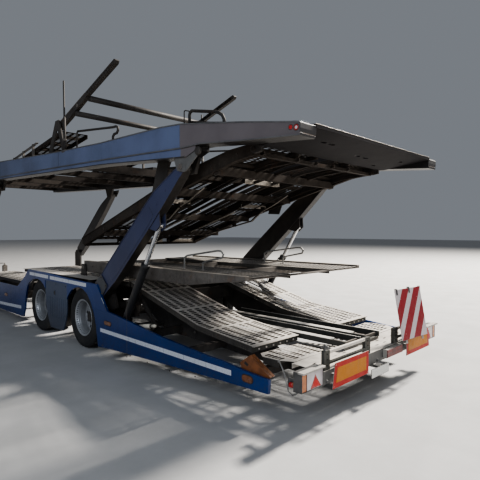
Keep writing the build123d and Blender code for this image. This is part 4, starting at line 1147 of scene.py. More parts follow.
# ------------------------------------------------------------------ side skirts: tape, lamps, seams, bolts, holder holes
b = Build()
for s in (-1, 1):
    x0, x1 = s * 1.2712, s * 1.2724

    def strip(pts, mat=0, x1=x1):
        b.yz(pts, x0, x1, mat)

    def tape(ya, yb, za, zb, h, step=0.30, gap=0.004):
        n = max(1, int(abs(yb - ya) / step))
        for k in range(n):
            f0, f1 = k / n, (k + 1) / n
            y0, y1 = ya + (yb - ya) * f0, ya + (yb - ya) * f1
            g = gap * (1 if y1 > y0 else -1)
            z0, z1 = za + (zb - za) * f0, za + (zb - za) * f1
            strip([(y0 + g, z0), (y1, z1), (y1, z1 + h), (y0 + g, z0 + h)])
    # arch cover: upper contour marking in two lengths
    tape(1.755, 1.014, 0.849, 0.8415, 0.050)
    tape(0.959, -0.200, 0.8405, 0.8265, 0.049)
    tape(-0.570, -2.885, 0.312, 0.305, 0.046)
    tape(2.140, 3.240, 0.258, 0.210, 0.052)
    tape(3.300, 5.150, 0.207, 0.190, 0.052)
    # oval side lamps in rubber seats
    for y, z, a, h in ((-0.754, 0.4385, 0.080, 0.0220), (-3.078, 0.323, 0.060, 0.0280), (2.900, 0.420, 0.080, 0.0220), (4.700, 0.420, 0.080, 0.0220)):
        for grow, xa, xb, m in ((0.008, 1.2710, 1.2722, 2), (0.0, 1.2716, 1.2748, 1)):
            pts = []
            for k in range(24):
                t = 2 * math.pi * k / 24
                c, sn = math.cos(t), math.sin(t)
                pts.append((y + (a - h) * (1 if c > 0 else -1) + (h + grow) * c, z + (h + grow) * sn))
            b.yz(pts, s * xa, s * xb, m)
    # bare worn edge of the skirt below the arm's root
    b.yz([(-0.594, 0.732), (-0.606, 0.732), (-0.672, 0.668), (-0.662, 0.664)], s * 1.2708, s * 1.2722, 5)
    b.yz([(-0.662, 0.6645), (-0.6685, 0.6645), (-0.7320, 0.5890), (-0.7260, 0.5885)], s * 1.2708, s * 1.2719, 4)
    # pressed crease line along the rear skirt and panel seams
    b.yz([(-0.362, 0.5725), (-0.744, 0.5765), (-0.929, 0.5585), (-0.929, 0.5535), (-0.744, 0.5715), (-0.362, 0.5675)], s * 1.2708, s * 1.2722, 3)
    for y, za, zb in ((-1.190, 0.115, 0.780), (2.640, 0.120, 0.600), (3.900, 0.115, 0.600)):
        b.yz([(y - 0.0025, za), (y + 0.0025, za), (y + 0.0025, zb), (y - 0.0025, zb)], s * 1.2705, s * 1.2716, 4)
    for y in (-0.46, -0.62, -0.86, -1.10, -1.26, -1.60, -2.00, -2.40):
        z = 0.150 if y > -2.2 else 0.185
        b.turned(P(s * 1.2712, y, z), (s, 0, 0), [(0, 0.0085), (0.0016, 0.0075), (0.0024, 0.0040)], 10, 4)
    for y in (2.12, 2.50, 2.78, 3.30, 3.76, 4.04, 4.60, 5.10):
        b.turned(P(s * 1.2712, y, 0.148), (s, 0, 0), [(0, 0.0085), (0.0016, 0.0075), (0.0024, 0.0040)], 10, 4)
        b.turned(P(s * 1.2712, y, 0.575), (s, 0, 0), [(0, 0.0085), (0.0016, 0.0075), (0.0024, 0.0040)], 10, 4)
b.make("skirt_trim", "chassis", ["white_tape", "amber_dark", "rubber", "blue", "steel", "white_plate"])

# sheets that round off the wheel openings, with a folded lip
ARCHES = (
    ([(-0.452, 0.386), (-0.428, 0.470), (-0.385, 0.556), (-0.318, 0.650), (-0.232, 0.735), (-0.120, 0.790), (0.000, 0.808), (0.120, 0.792), (0.225, 0.752), (0.310, 0.690), (0.360, 0.640), (0.384, 0.606)],
     [(0.384, 0.822), (-0.258, 0.822), (-0.337, 0.820), (-0.409, 0.704), (-0.448, 0.563), (-0.468, 0.386)]),
    ([(1.139, 0.690), (1.204, 0.745), (1.310, 0.792), (1.431, 0.808), (1.560, 0.800), (1.671, 0.775), (1.770, 0.735), (1.842, 0.680), (1.882, 0.625), (1.911, 0.558), (1.937, 0.480), (1.955, 0.400)],
     [(1.975, 0.400), (1.963, 0.563), (1.888, 0.707), (1.806, 0.768), (1.704, 0.822), (1.139, 0.822)]),
)
b = Build()
for s in (-1, 1):
    for low, rest in ARCHES:
        b.yz(low + rest, s * 1.2446, s * 1.2703, 0)
        k = len(low)
        away = []
        for i in range(k):
            (ya, za), (yb, zb) = low[max(0, i - 1)], low[min(k - 1, i + 1)]
            d = math.hypot(yb - ya, zb - za)
            away.append((low[i][0] - (zb - za) / d * 0.006, low[i][1] + (yb - ya) / d * 0.006))
        b.yz(low + away[::-1], s * 1.2440, s * 1.2712, 0)
b.make("wheel_arch_sheets", "chassis", ["blue"])

# grey wheel panels: pressed ribs, round hole rim, bolts
b = Build()
for s in (-1, 1):
    for k in range(11):
        y = 0.455 + k * 0.063
        z0, z1 = (0.30 if 0.50 < y < 0.98 else 0.47), 0.585
        b.yz([(y - 0.008, z0), (y + 0.008, z0), (y + 0.008, z1), (y - 0.008, z1)], s * 1.2615, s * 1.2645, 0)
    ring_solid(b, P(s * 1.262, 0.807, 0.654), s, [(-0.001, 0.030), (0.003, 0.032), (0.0035, 0.040), (-0.001, 0.043)], 28, 0)
    b.turned(P(s * 1.2617, 0.807, 0.654), (s, 0, 0), [(0.0, 0.0305), (0.0008, 0.0305)], 24, 1)
    for y, z in ((0.43, 0.775), (0.76, 0.785), (1.08, 0.775), (0.47, 0.36), (1.03, 0.36), (0.55, 0.175), (0.92, 0.165)):
        b.bolt(P(s * 1.262, y, z), (s, 0, 0), 0.013, 0.006, 0)
b.make("wheel_panel_ribs", "chassis", ["panel_grey", "black_plastic"], bevel=0.0012)


# ------------------------------------------------------------------ upper side beams: flanges, sheets, lamps
b = Build()
for s in (-1, 1):
    # rolled edge along the top and bottom of the beam
    b.yz([(y, z) for y, z in BEAM_TOP] + [(y, z - 0.012) for y, z in reversed(BEAM_TOP)], s * 1.2705, s * 1.2745, 0)
    b.yz([(y, z + 0.012) for y, z in BEAM_BOT] + [(y, z + 0.0005) for y, z in reversed(BEAM_BOT)], s * 1.2705, s * 1.2740, 0)
    # cover sheets on the outer face, with joints and rivets
    for ya, yb in ((-2.168, 0.610), (0.618, 3.146), (3.154, 5.196), (5.204, 6.592)):
        ys = [ya] + [p[0] for p in BEAM_TOP + BEAM_BOT if ya + 0.01 < p[0] < yb - 0.01] + [yb]
        ys = sorted(set(ys))
        pts = [(y, along(BEAM_TOP, y) - 0.016) for y in ys] + [(y, along(BEAM_BOT, y) + 0.016) for y in reversed(ys)]
        b.yz(pts, s * 1.2708, s * 1.2724, 1)
        n = int((yb - ya) / 0.30)
        for k in range(n + 1):
            y = ya + 0.035 + (yb - ya - 0.07) * k / n
            for z in (along(BEAM_TOP, y) - 0.030, along(BEAM_BOT, y) + 0.030):
                b.turned(P(s * 1.2722, y, z), (s, 0, 0), [(0, 0.0060), (0.0010, 0.0055), (0.0019, 0.0028)], 8, 1)
    # lower chord: edge strip and weld bead to the beam
    CH = [(-2.250, 2.247), (-0.600, 2.351), (3.156, 2.489), (6.600, 2.620)]
    b.yz([(y, z + 0.0005) for y, z in CH] + [(y, z + 0.010) for y, z in reversed(CH)], s * 1.2615, s * 1.2650, 2)
    # round lamps near the rear end, on short seats
    for y, z, r, m in ((-3.524, 2.3180, 0.0170, 3), (-3.577, 2.3090, 0.0225, 5)):
        b.turned(P(s * 1.2708, y, z), (s, 0, 0), [(0.0, r + 0.005), (0.0022, r + 0.005)], 24, 4)
        b.turned(P(s * 1.2715, y, z), (s, 0, 0), [(0.0, r), (0.0016, r * 0.98), (0.0024, r * 0.80)], 24, 3)
        b.turned(P(s * 1.2715, y, z), (s, 0, 0), [(0.0, r * 0.55), (0.0028, r * 0.55), (0.0034, r * 0.30)], 20, m)
    # rounded closing hood over the tail of the beam
    hood = [(-3.6095, 2.262), (-3.6150, 2.300), (-3.6150, 2.340), (-3.6050, 2.3515), (-3.560, 2.3598), (-3.545, 2.3620)]
    inner_edge = [(-3.545, 2.3590), (-3.560, 2.3568), (-3.6030, 2.3488), (-3.6105, 2.3380), (-3.6105, 2.262)]
    b.yz(hood + inner_edge, s * 1.070, s * 1.2735, 2)
    # inner stiffeners every so often
    for k in range(9):
        y = -1.95 + k * 1.02
        z0, z1 = along(BEAM_BOT, y) + 0.012, along(BEAM_TOP, y) - 0.012
        b.box(s * 1.0755, s * 1.0805, y - 0.030, y + 0.030, z0, z1, 2)
    b.yz([(y, z) for y, z in BEAM_TOP if y > -3.2] + [(y, z - 0.010) for y, z in reversed(BEAM_TOP) if y > -3.2], s * 1.066, s * 1.0805, 2)
b.make("beam_sheets", "upper_deck", ["beam_edge", "grey_blue", "beam_dark", "red_lens", "rubber", "white_lens"])

# ------------------------------------------------------------------ lift arms: edge plates, root plates, pins
ANG = math.radians(40.5)
REAR_PIN, FRONT_PIN, ARM_LEN = (-0.540, 0.786), (5.150, 1.000), 2.125
ARM = [(-40, 120, 60), (20, 165, 66), (390, 178, 98), (1370, 162, 86), (1630, 150, 78), (1850, 104, 66), (2040, 60, 55), (2125, 52, 52)]


def arm_at(pin, d, a):
    """(Y, Z) at distance d up the arm, a to its upper side."""
    return pin[0] - d * math.cos(ANG) + a * math.sin(ANG), pin[1] + d * math.sin(ANG) + a * math.cos(ANG)


for body, pin in (("rear_arms", REAR_PIN), ("front_arms", FRONT_PIN)):
    b = Build()
    for s in (-1, 1):
        for sign, key in ((1, 1), (-1, 2)):
            edge = [(r[0] / 1000, sign * r[key] / 1000) for r in ARM[:-1]]
            inn = [(d, a - sign * 0.008) for d, a in edge]
            pts = [arm_at(pin, d, a) for d, a in edge] + [arm_at(pin, d, a) for d, a in reversed(inn)]
            for xa, xb in ((1.2355, 1.2405), (1.1355, 1.1405)):
                b.yz(pts, s * xa, s * xb, 0 if xa > 1.2 else 1)
        # boss rings and pin ends at both eyes
        for d in (0.0, ARM_LEN):
            y, z = arm_at(pin, d, 0.0)
            ring_solid(b, P(s * 1.236, y, z), s, [(-0.001, 0.0315), (0.0042, 0.0330), (0.0050, 0.0500), (-0.001, 0.0525)], 40, 1)
        # welded doubler on the outer face and a row of plug welds
        pts = [arm_at(pin, d, a) for d, a in ((0.30, 0.100), (0.42, 0.125), (1.34, 0.110), (1.46, 0.085), (1.46, -0.030), (1.34, -0.052), (0.42, -0.060), (0.30, -0.038))]
        b.yz(pts, s * 1.2355, s * 1.2384, 0)
        for d in (0.12, 1.58, 1.78):
            y, z = arm_at(pin, d, 0.02)
            b.turned(P(s * 1.2355, y, z), (s, 0, 0), [(0, 0.013), (0.0022, 0.011), (0.0030, 0.004)], 14, 0)
    b.make(body + "_edges", body, ["arm_blue", "beam_dark"])

# plates over the arm roots and caps of the chassis pins
b = Build()
for s in (-1, 1):
    for pin in (REAR_PIN, FRONT_PIN):
        dy, dz = pin[0] - REAR_PIN[0], pin[1] - REAR_PIN[1]
        plate = [(-0.393, 0.896), (-0.555, 1.013), (-0.705, 0.884), (-0.579, 0.746)]
        c = [(y + dy, z + dz) for y, z in plate]
        # rounded corners
        out = []
        for k, p in enumerate(c):
            q, r = c[k - 1], c[(k + 1) % 4]
            for f in (0.16, 0.06):
                out.append((p[0] + (q[0] - p[0]) * f, p[1] + (q[1] - p[1]) * f))
            for f in (0.06, 0.16):
                out.append((p[0] + (r[0] - p[0]) * f, p[1] + (r[1] - p[1]) * f))
        b.yz(out, s * 1.2445, s * 1.2495, 0)
        for k, p in enumerate(c):
            cy, cz = sum(q[0] for q in c) / 4, sum(q[1] for q in c) / 4
            b.bolt(P(s * 1.2495, p[0] + (cy - p[0]) * 0.24, p[1] + (cz - p[1]) * 0.24), (s, 0, 0), 0.019, 0.010, 1)
        b.turned(P(s * 1.2410, pin[0], pin[1]), (s, 0, 0), [(0, 0.029), (0.0090, 0.029), (0.0110, 0.026)], 32, 0)
b.make("arm_root_plates", "chassis", ["root_plate", "steel"], bevel=0.0008)

# outer plates of the arms' top joints
b = Build()
for s in (-1, 1):
    for pin in (REAR_PIN, FRONT_PIN):
        ty, tz = arm_at(pin, ARM_LEN, 0.0)
        ry, rz = arm_at(REAR_PIN, ARM_LEN, 0.0)
        dy = ty - ry
        if pin is REAR_PIN:
            pts = [(-2.039, 2.300), (-2.409, 2.300), (-2.409, 2.242), (-2.244, 2.119), (-2.213, 2.112), (-2.103, 2.133)]
        else:
            pts = [(y + dy, z + tz - rz) for y, z in ((-2.020, 2.262), (-2.330, 2.262), (-2.290, 2.200), (-2.220, 2.118), (-2.103, 2.118))]
            zt = along([(-2.400, 2.300), (-2.250, 2.247), (-0.600, 2.351), (3.156, 2.489), (6.600, 2.620)], ty)
            pts = [(y, min(z, zt + 0.020)) for y, z in pts]
        b.yz(pts, s * 1.2425, s * 1.2535, 0)
        b.turned(P(s * 1.2535, ty, tz), (s, 0, 0), [(0, 0.034), (0.0060, 0.034), (0.0085, 0.030)], 32, 1)
        b.bolt(P(s * 1.2615, ty, tz), (s, 0, 0), 0.024, 0.009, 1, False)
        for y, z in ((ty + 0.085, tz + 0.095), (ty - 0.085, tz + 0.090)):
            b.bolt(P(s * 1.2535, y, min(z, pts[0][1] - 0.02)), (s, 0, 0), 0.019, 0.010, 1)
    # dark lock knob at the rear corner of the joint plate
    b.turned(P(s * 1.2450, -2.428, 2.288), (s, 0, 0), [(0, 0.040), (0.018, 0.040), (0.024, 0.034), (0.0265, 0.020)], 20, 2)
b.make("arm_top_plates", "upper_deck", ["beam_grey", "steel", "dark"], bevel=0.0010)

# lift cylinders: gland nut, oil ports and rigid pipe
b = Build()
CYL_PIN, CYL_X = (-1.020, 0.480), 1.188
EYE = (-1.72155, 1.60445)
dv = Vector((0, EYE[0] - CYL_PIN[0], EYE[1] - CYL_PIN[1])).normalized()
for s in (-1, 1):
    base = P(s * CYL_X, CYL_PIN[0], CYL_PIN[1])
    b.turned(base + dv * 0.7700, dv, [(0, 0.0460), (0.004, 0.0500), (0.052, 0.0500), (0.056, 0.0470), (0.060, 0.0300), (0.060, 0.0272)], 40, 0, cap=False)
    ring_solid(b, base, s, [(-0.0385, 0.0235), (0.0385, 0.0235), (0.0385, 0.0445), (-0.0385, 0.0445)], 40, 0)
    n = Vector((0, dv.z, -dv.y))
    for d in (0.085, 0.745):
        b.turned(base + dv * d + n * 0.042, n, [(0, 0.016), (0.014, 0.016), (0.014, 0.012), (0.026, 0.012)], 16, 1)
    b.tube([base + dv * 0.745 + n * 0.066, base + dv * 0.715 + n * 0.070, base + dv * 0.130 + n * 0.070, base + dv * 0.085 + n * 0.066], 0.0058, 10, 1)
    for d in (0.25, 0.55):
        c, h = base + dv * d, Vector((s * 0.014, 0, 0))
        b.prism([c + n * 0.040 + h, c + n * 0.078 + h, c + n * 0.078 - h, c + n * 0.040 - h], dv * 0.018, 1)
b.make("cylinder_fittings", "lift_barrels", ["black", "steel"])

# ------------------------------------------------------------------ tilting platform: edge bars, pipes, stays
PLAT_LOW = [(0.440, 1.368), (0.360, 1.350), (-0.635, 1.665), (-1.460, 1.885), (-2.200, 2.072), (-2.700, 2.195), (-2.960, 2.222), (-2.990, 2.240)]
b = Build()
for s in (-1, 1):
    top, low = Line(PLAT), Line(sorted(PLAT_LOW))
    # flanges of the side members
    b.yz([(y, z - 0.0002) for y, z in PLAT] + [(y, z - 0.009) for y, z in reversed(PLAT)], s * 0.9955, s * 1.0210, 0)
    lowline = sorted(PLAT_LOW)[1:-1]
    b.yz([(y, z + 0.009) for y, z in lowline] + [(y, z + 0.0005) for y, z in reversed(lowline)], s * 0.972, s * 1.0180, 0)
    # lengthways stringers under the strips
    for x in (0.150, 0.455, 0.960):
        pts = [(y, z - 0.083) for y, z in PLAT[:-1]] + [(0.360, along(PLAT, 0.360) - 0.078)]
        b.yz([(y, z) for y, z in pts] + [(y, z - 0.034) for y, z in reversed(pts)], s * (x - 0.004), s * (x + 0.004), 0)
        b.yz([(y, z - 0.030) for y, z in pts] + [(y, z - 0.034) for y, z in reversed(pts)], s * (x - 0.018), s * (x + 0.018), 0)
# bright worn cross bars seen from below
for (x0, x1, y, z) in ((-0.300, 0.300, -2.086, 2.104), (0.440, 0.955, -1.290, 1.888), (0.430, 0.950, -0.036, 1.502), (0.420, 0.950, 0.372, 1.388), (-0.950, -0.430, -1.308, 1.894), (-0.300, 0.300, 0.372, 1.388)):
    b.box(x0, x1, y - 0.024, y + 0.024, z - 0.016, z - 0.010, 1)
    b.box(x0, x1, y - 0.024, y - 0.018, z - 0.010, z + 0.030, 1)
for s in (-1, 1):
    # long thin stay rods beneath, and rigid pipes with their clips
    b.rod(P(s * 0.300, -0.389, 1.540), P(s * 0.300, -1.326, 1.800), 0.0085, 12, 1)
    b.rod(P(s * 0.560, -0.260, 1.500), P(s * 0.560, -2.300, 2.110), 0.0070, 12, 2)
    b.tube([P(s * 0.700, -1.900, 2.020), P(s * 0.700, -1.650, 1.900), P(s * 0.700, -1.466, 1.830), P(s * 0.700, -1.333, 1.745), P(s * 0.700, -1.255, 1.690), P(s * 0.700, -0.300, 1.500)], 0.0090, 12, 2)
    b.tube([P(s * 0.728, -1.900, 2.020), P(s * 0.728, -1.650, 1.900), P(s * 0.728, -1.466, 1.830), P(s * 0.728, -1.333, 1.745), P(s * 0.728, -1.255, 1.690), P(s * 0.728, -0.300, 1.500)], 0.0070, 12, 1)
    for y, z in ((-0.520, 1.548), (-0.900, 1.624), (-1.466, 1.832)):
        b.box(s * 0.684, s * 0.742, y - 0.012, y + 0.012, z - 0.012, z + 0.050, 0)
    # bolts along the side member
    for k in range(9):
        y = -2.70 + k * 0.36
        z = (along(PLAT, y) + along(sorted(PLAT_LOW), y)) / 2
        b.bolt(P(s * 1.0121, y, z), (s, 0, 0), 0.019, 0.006, 2)
        b.bolt(P(s * 0.9999, y, z), (-s, 0, 0), 0.019, 0.009, 2)
    # gusset plates where the ribs meet the side members
    for y in (-2.400, -1.700, -0.900, -0.200):
        z = along(PLAT, y) - 0.090
        b.prism([P(s * 0.9995, y + 0.034, z), P(s * 0.9995, y + 0.034, z - 0.075), P(s * 0.900, y + 0.034, z - 0.012)], (0, 0.007, 0), 0)
b.make("tilt_platform_trim", "tilt_platform", ["rusty", "worn_edge", "dark"])

# middle platform: rolled edges, hoops, worn top
b = Build()
for s in (-1, 1):
    b.box(s * 0.958, s * 1.0165, -2.796, 0.388, 1.1255, 1.1300, 1)
    b.yz([(0.390, 0.993), (-1.990, 0.993), (-2.790, 1.0965), (-2.790, 1.0905), (-1.998, 0.9845), (0.390, 0.9845)], s * 0.945, s * 1.0160, 0)
    b.tube([P(s * 0.700, -1.512, 1.108), P(s * 0.700, -1.512, 1.236), P(s * 0.700, -1.560, 1.262), P(s * 0.700, -2.085, 1.334), P(s * 0.700, -2.140, 1.332), P(s * 0.700, -2.178, 1.300), P(s * 0.700, -2.160, 1.262), P(s * 0.700, -1.900, 1.212), P(s * 0.700, -1.844, 1.190), P(s * 0.700, -1.844, 1.108)], 0.0105, 12, 2)
    for y in (-1.512, -1.844):
        b.box(s * 0.675, s * 0.725, y - 0.025, y + 0.025, 1.1120, 1.1180, 2)
    for y in (-2.30, -1.66, -1.30, -0.80, -0.30, 0.15):
        b.bolt(P(s * 1.012, y, 1.060), (s, 0, 0), 0.019, 0.006, 0)
    for y in (-2.30, -1.76, -1.30, -0.80, -0.30, 0.15):
        b.turned(P(s * 1.0120, y + 0.22, 1.055), (s, 0, 0), [(0.0, 0.030), (0.0030, 0.030), (0.0040, 0.026)], 24, 0)
b.make("middle_platform_trim", "middle_platform", ["steel", "worn_edge", "galv"], bevel=0.0008)

# ------------------------------------------------------------------ upper deck: tail sheet, channel cross members
b = Build()
tail_line = Line([(-3.620, 2.3415), (-3.606, 2.3400), (-3.080, 2.2845), (-3.030, 2.2860)])
us = [-1.080, -0.730, -0.598, -0.466, 0.010, 0.178, 0.346, 0.650, 0.735, 0.790, 0.880, 0.960, 1.080]
vs = [0.0, 0.0145, 0.100, 0.180, 0.260, 0.400, 0.548, tail_line.length]
HOLES = {(1, 3): 1, (2, 3): 1, (4, 4): 1, (5, 4): 1, (7, 5): 1, (9, 3): 1}


def tail_place(u, v, w):
    y, z = tail_line.at(v)
    return P(u, y, z - 0.0110 * w)


# the tail sheet, its rear lip and stiffeners take the near-black sheet steel: painted shade
b.pierced(tail_place, us, vs, lambda i, j: oblong(min(0.042, (us[i + 1] - us[i]) * 0.36), 0.018) if (i, j) in HOLES else None, 0)
b.yz([(-3.620, 2.362), (-3.6145, 2.362), (-3.6145, 2.3413), (-3.620, 2.3416)], -1.080, 1.080, 0)
b.box(-1.080, 1.080, -3.6205, -3.6120, 2.3605, 2.3645, 2)
for x in (-0.92, -0.20, 0.52, 1.02):
    b.yz([(-3.600, 2.342), (-3.100, 2.2885), (-3.100, 2.312), (-3.600, 2.362)], x - 0.003, x + 0.003, 0)
# the cross channels take the dark underside steel: painted shade
for y, d in ((0.640, 0.110), (1.750, 0.090), (2.900, 0.090), (4.050, 0.090), (5.200, 0.090), (6.520, 0.120)):
    z = along(BEAM_BOT, y) + 0.010
    b.yz([(y - 0.045, z), (y + 0.045, z), (y + 0.045, z + 0.007), (y - 0.038, z + 0.007), (y - 0.038, z + d - 0.007), (y + 0.045, z + d - 0.007), (y + 0.045, z + d), (y - 0.045, z + d)], -1.080, 1.080, 3)
    for s in (-1, 1):
        b.box(s * 1.0745, s * 1.0800, y - 0.070, y + 0.070, z - 0.004, z + d + 0.012, 1)
        for yy in (y - 0.056, y + 0.056):
            for zz in (z + 0.018, z + d - 0.010):
                b.bolt(P(s * 1.0745, yy, zz), (-s, 0, 0), 0.017, 0.008, 1)
b.make("upper_cross_channels", "upper_deck", ["tail_sheet_painted_shade", "rusty", "worn_edge", "deck_underside_rust_and_painted_shade"], replaces=("upper_cross_members",))

# ------------------------------------------------------------------ raised post, folded rails, hand loops
b = Build()
for s in (-1, 1):
    b.turned(P(s * 1.2480, 0.455, 2.7030 - 0.045), (0, 0.012 / 0.436, 1.0), [(0.0, 0.0240), (0.120, 0.0240), (0.124, 0.0190), (0.460, 0.0190), (0.468, 0.0120), (0.968, 0.0120), (0.972, 0.0095), (0.978, 0.0050)], 20, 0)
    b.box(s * 1.215, s * 1.2735, 0.405, 0.505, along(BEAM_TOP, 0.455) - 0.030, along(BEAM_TOP, 0.455) + 0.0050, 1)
    b.turned(P(s * 1.2480, 0.463, 2.795), (0, 0.0275, 1.0), [(0.0, 0.0268), (0.030, 0.0268)], 20, 1)
    # folded rail: hoop, long bar, hinge seats on the beam
    b.tube([P(s * 1.100, -0.600, along(BEAM_TOP, -0.600) + 0.002), P(s * 1.100, -0.600, 2.720), P(s * 1.100, -0.630, 2.745), P(s * 1.100, -0.690, 2.748), P(s * 1.100, -0.722, 2.775), P(s * 1.100, -0.716, 2.815),
            P(s * 1.100, -0.680, 2.833), P(s * 1.100, -0.600, 2.835), P(s * 1.100, 0.370, 2.940)], 0.0150, 12, 0)
    b.tube([P(s * 1.100, 0.370, 2.940), P(s * 1.100, 0.395, 2.925), P(s * 1.100, 0.400, 2.890), P(s * 1.100, 0.400, along(BEAM_TOP, 0.400) + 0.002)], 0.0105, 12, 0)
    b.tube([P(s * 1.100, -2.112, along(BEAM_TOP, -2.112) + 0.002), P(s * 1.100, -2.112, 2.700), P(s * 1.100, -2.122, 2.728), P(s * 1.100, -2.150, 2.738), P(s * 1.100, -2.480, 2.666), P(s * 1.100, -2.545, 2.645),
            P(s * 1.100, -2.592, 2.614), P(s * 1.100, -2.616, 2.572), P(s * 1.100, -2.620, along(BEAM_TOP, -2.620) + 0.002)], 0.0155, 14, 0)
    b.tube([P(s * 1.100, -2.120, 2.634), P(s * 1.100, -2.300, 2.600), P(s * 1.100, -2.420, 2.574), P(s * 1.100, -2.616, 2.540)], 0.0100, 12, 0)
    b.tube([P(s * 1.100, -2.026, along(BEAM_TOP, -2.026) + 0.002), P(s * 1.100, -2.026, 2.748), P(s * 1.100, -2.034, 2.760), P(s * 1.100, -2.046, 2.761), P(s * 1.100, -2.108, 2.742)], 0.0060, 10, 0)
    for y in (-0.600, 0.400, -2.060, -2.620):
        b.box(s * 1.085, s * 1.150, y - 0.030, y + 0.030, along(BEAM_TOP, y) - 0.004, along(BEAM_TOP, y) + 0.0090, 1)
    # narrow pierced step strip beside the fixed ramp
    ln = Line([(2.020, 3.028), (3.100, 2.888)])
    us, vs = cuts(1.012, 1.058, 1, 0.034), cuts(0.0, ln.length, 20, 0.050)
    b.pierced(lambda u, v, w: P(s * u, ln.at(v)[0], ln.at(v)[1] - 0.005 * w), us, vs, lambda i, j: circle(0.0105, 12) if i == 1 and 1 <= j <= 20 else None, 1)
    b.yz(ln.band(-0.0052, 0.045), s * 1.053, s * 1.058, 1)
    for y in (2.10, 2.55, 3.02):
        b.box(s * 1.0585, s * 1.0880, y - 0.020, y + 0.020, along(BEAM_TOP, y) - 0.030, ln.z(y) - 0.012, 1)
b.make("deck_rails", "upper_deck", ["dark", "steel"])

# raised frame: edge strips, pins, rope guides
b = Build()
fa = math.radians(17.2)
FP = (1.050, 3.150)


def rail_at(d, a):
    return FP[0] - d * math.cos(fa) - a * math.sin(fa), FP[1] + d * math.sin(fa) - a * math.cos(fa)


def rail_strip(b, s, pts, x0, x1, mat):
    b.yz([rail_at(d, a) for d, a in pts], s * x0, s * x1, mat)


for s in (-1, 1):
    # deep lower part, then a slim slotted channel up to the rounded tip
    rail_strip(b, s, [(-0.060, -0.050), (0.880, -0.050), (0.880, 0.012), (0.840, 0.030), (0.300, 0.052), (-0.060, 0.052)], 1.0050, 1.0600, 0)
    us, vs = cuts(0.880, 1.660, 12, 0.060), [-0.050, -0.034, -0.006, 0.012]

    def web(u, v, w, s=s):
        y, z = rail_at(u, v)
        return P(s * (1.0600 - 0.005 * w), y, z)

    b.pierced(web, us, vs, lambda i, j: oblong(0.0185, 0.0085) if 1 <= i <= 12 and j == 1 else None, 0)
    rail_strip(b, s, [(0.880, -0.050), (1.660, -0.050), (1.660, -0.045), (0.880, -0.045)], 1.0050, 1.0550, 0)
    rail_strip(b, s, [(0.880, 0.007), (1.660, 0.007), (1.660, 0.012), (0.880, 0.012)], 1.0050, 1.0550, 0)
    rail_strip(b, s, [(1.6601, -0.050), (1.700, -0.050), (1.722, -0.034), (1.730, -0.012), (1.700, 0.012), (1.6601, 0.012)], 1.0050, 1.0600, 0)
    # worn edge of the lower part and its fastenings
    rail_strip(b, s, [(0.000, -0.0515), (0.860, -0.0515), (0.860, -0.0445), (0.000, -0.0445)], 1.0035, 1.0625, 1)
    for d in (0.20, 0.60):
        y, z = rail_at(d, 0.0)
        b.turned(P(s * 1.060, y, z), (s, 0, 0), [(0.0, 0.026), (0.0040, 0.026), (0.0055, 0.022)], 24, 1)
        b.bolt(P(s * 1.0655, y, z), (s, 0, 0), 0.017, 0.008, 1, False)
for d, a, r, x in ((0.860, 0.020, 0.040, 1.0060), (0.520, 0.080, 0.038, 1.0500)):
    y, z = rail_at(d, a)
    b.rod(P(-x, y, z), P(x, y, z), r, 32, 0)
b.make("raised_frame_rails", "raised_frame", ["dark", "steel"], replaces=("raised_frame",))

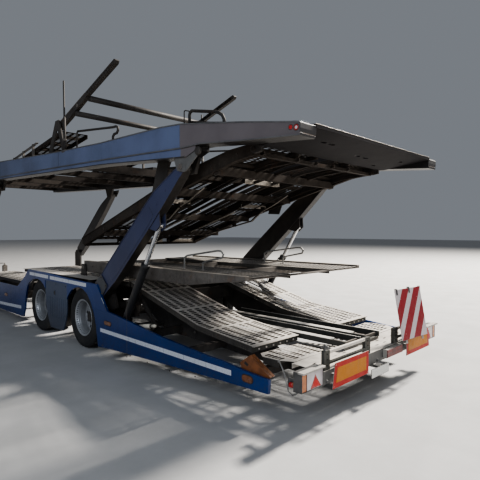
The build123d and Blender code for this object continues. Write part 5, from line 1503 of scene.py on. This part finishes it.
# fastenings on the chassis: rail flanges, drawbar gussets, jack crank
b = Build()
for s in (-1, 1):
    for y0, y1, z in ((-0.845, 2.128, 0.861), (2.400, 5.345, 0.576), (-3.495, -2.970, 0.368)):
        b.box(s * 0.630, s * 0.715, y0, y1, z - 0.003, z + 0.0035, 0)
    for y in (2.480, 3.400, 4.300, -1.700, -2.500):
        z = 0.450 if y > 0 else 0.425
        for dz in (-0.030, 0.030):
            b.bolt(P(s * 0.7001, y, z + dz), (s, 0, 0), 0.019, 0.009, 1)
    b.box(s * 0.150, s * 0.440, 5.352, 5.360, 0.352, 0.478, 0)
    # channel strut from the outrigger up to the outer edge of the sloping track
    for x0, x1, a0, a1 in ((1.0180, 1.0222, -0.022, 0.022), (1.0180, 1.0480, -0.022, -0.018), (1.0180, 1.0480, 0.018, 0.022)):
        b.yz([(yy + a * 0.691, zz - a * 0.7225) for yy, zz, a in ((-1.050, 0.8180, a0), (-1.050, 0.8180, a1), (-1.4365, 0.4480, a1), (-1.4365, 0.4480, a0))], s * x0, s * x1, 0)
    b.box(s * 1.0121, s * 1.0181, -1.088, -1.022, 0.792, 0.846, 0)
    b.box(s * 0.985, s * 1.060, -1.482, -1.412, 0.4401, 0.4461, 0)
    b.box(s * 1.0180, s * 1.0222, -1.470, -1.412, 0.4455, 0.4700, 0)
    b.bolt(P(s * 1.0223, -1.055, 0.822), (s, 0, 0), 0.019, 0.009, 1)
    b.bolt(P(s * 1.000, -1.446, 0.4461), (0, 0, 1), 0.017, 0.008, 1)
b.tube([P(-0.515, 5.440, 0.762), P(-0.515, 5.440, 0.800), P(-0.515, 5.440, 0.812), P(-0.640, 5.440, 0.815)], 0.009, 12, 1)
b.rod(P(-0.640, 5.440, 0.812), P(-0.640, 5.440, 0.905), 0.012, 14, 2)
b.turned(P(-0.515, 5.440, 0.760), (0, 0, 1), [(0, 0.036), (0.012, 0.036), (0.016, 0.030), (0.022, 0.020)], 24, 1)
for x, y in ((-0.585, 5.370), (-0.445, 5.370), (-0.585, 5.510), (-0.445, 5.510)):
    b.bolt(P(x, y, 0.0121), (0, 0, 1), 0.013, 0.006, 1)
b.make("chassis_fastenings", "chassis", ["dark", "steel", "black_plastic"])

# ------------------------------------------------------------------ finishes of the CAD nodes
FINISH = {
    "skirts_rear": "blue", "skirts_front": "blue", "arch_covers": "blue", "wheel_panels": "panel_grey",
    "rear_arms": "arm_blue", "front_arms": "arm_blue",
    "frame_rails": "dark", "cross_members": "dark", "drawbar": "steel", "jack_leg": "galv", "arm_brackets": "dark",
    "suspension": "dark", "axles": "dark",
    "mid_platform_frame": "steel",
    "upper_side_beams": "grey_blue",
    "arm_top_brackets": "dark", "hub_posts": "dark", "raised_frame": "dark",
    "tilt_platform_frame": "rusty",
    "lift_barrels": "black", "lift_rods": "chrome",
}
for n in NODES:
    if n.startswith("tyres_"):
        dress(n, "tyre")
    elif n.startswith("rims_"):
        dress(n, "rim")
    elif n in FINISH:
        dress(n, FINISH[n])
    else:
        dress(n, "steel")


# ------------------------------------------------------------------ floor
def floor_mat():
    m = Mat("floor")
    n = m.noise(2.0, 6.0, 0.6)
    f = m.noise(90.0, 3.0, 0.6)
    col = m.mix(m.range(n, 0.3, 0.7), (0.40, 0.395, 0.39), (0.45, 0.445, 0.44))
    return m.done(col, 0.9, m.bump(f, 0.15, 0.001))


bpy.ops.mesh.primitive_plane_add(size=160, location=(0, 0, 0))
floor = bpy.context.object
floor.name = "floor"
floor.data.materials.append(floor_mat())
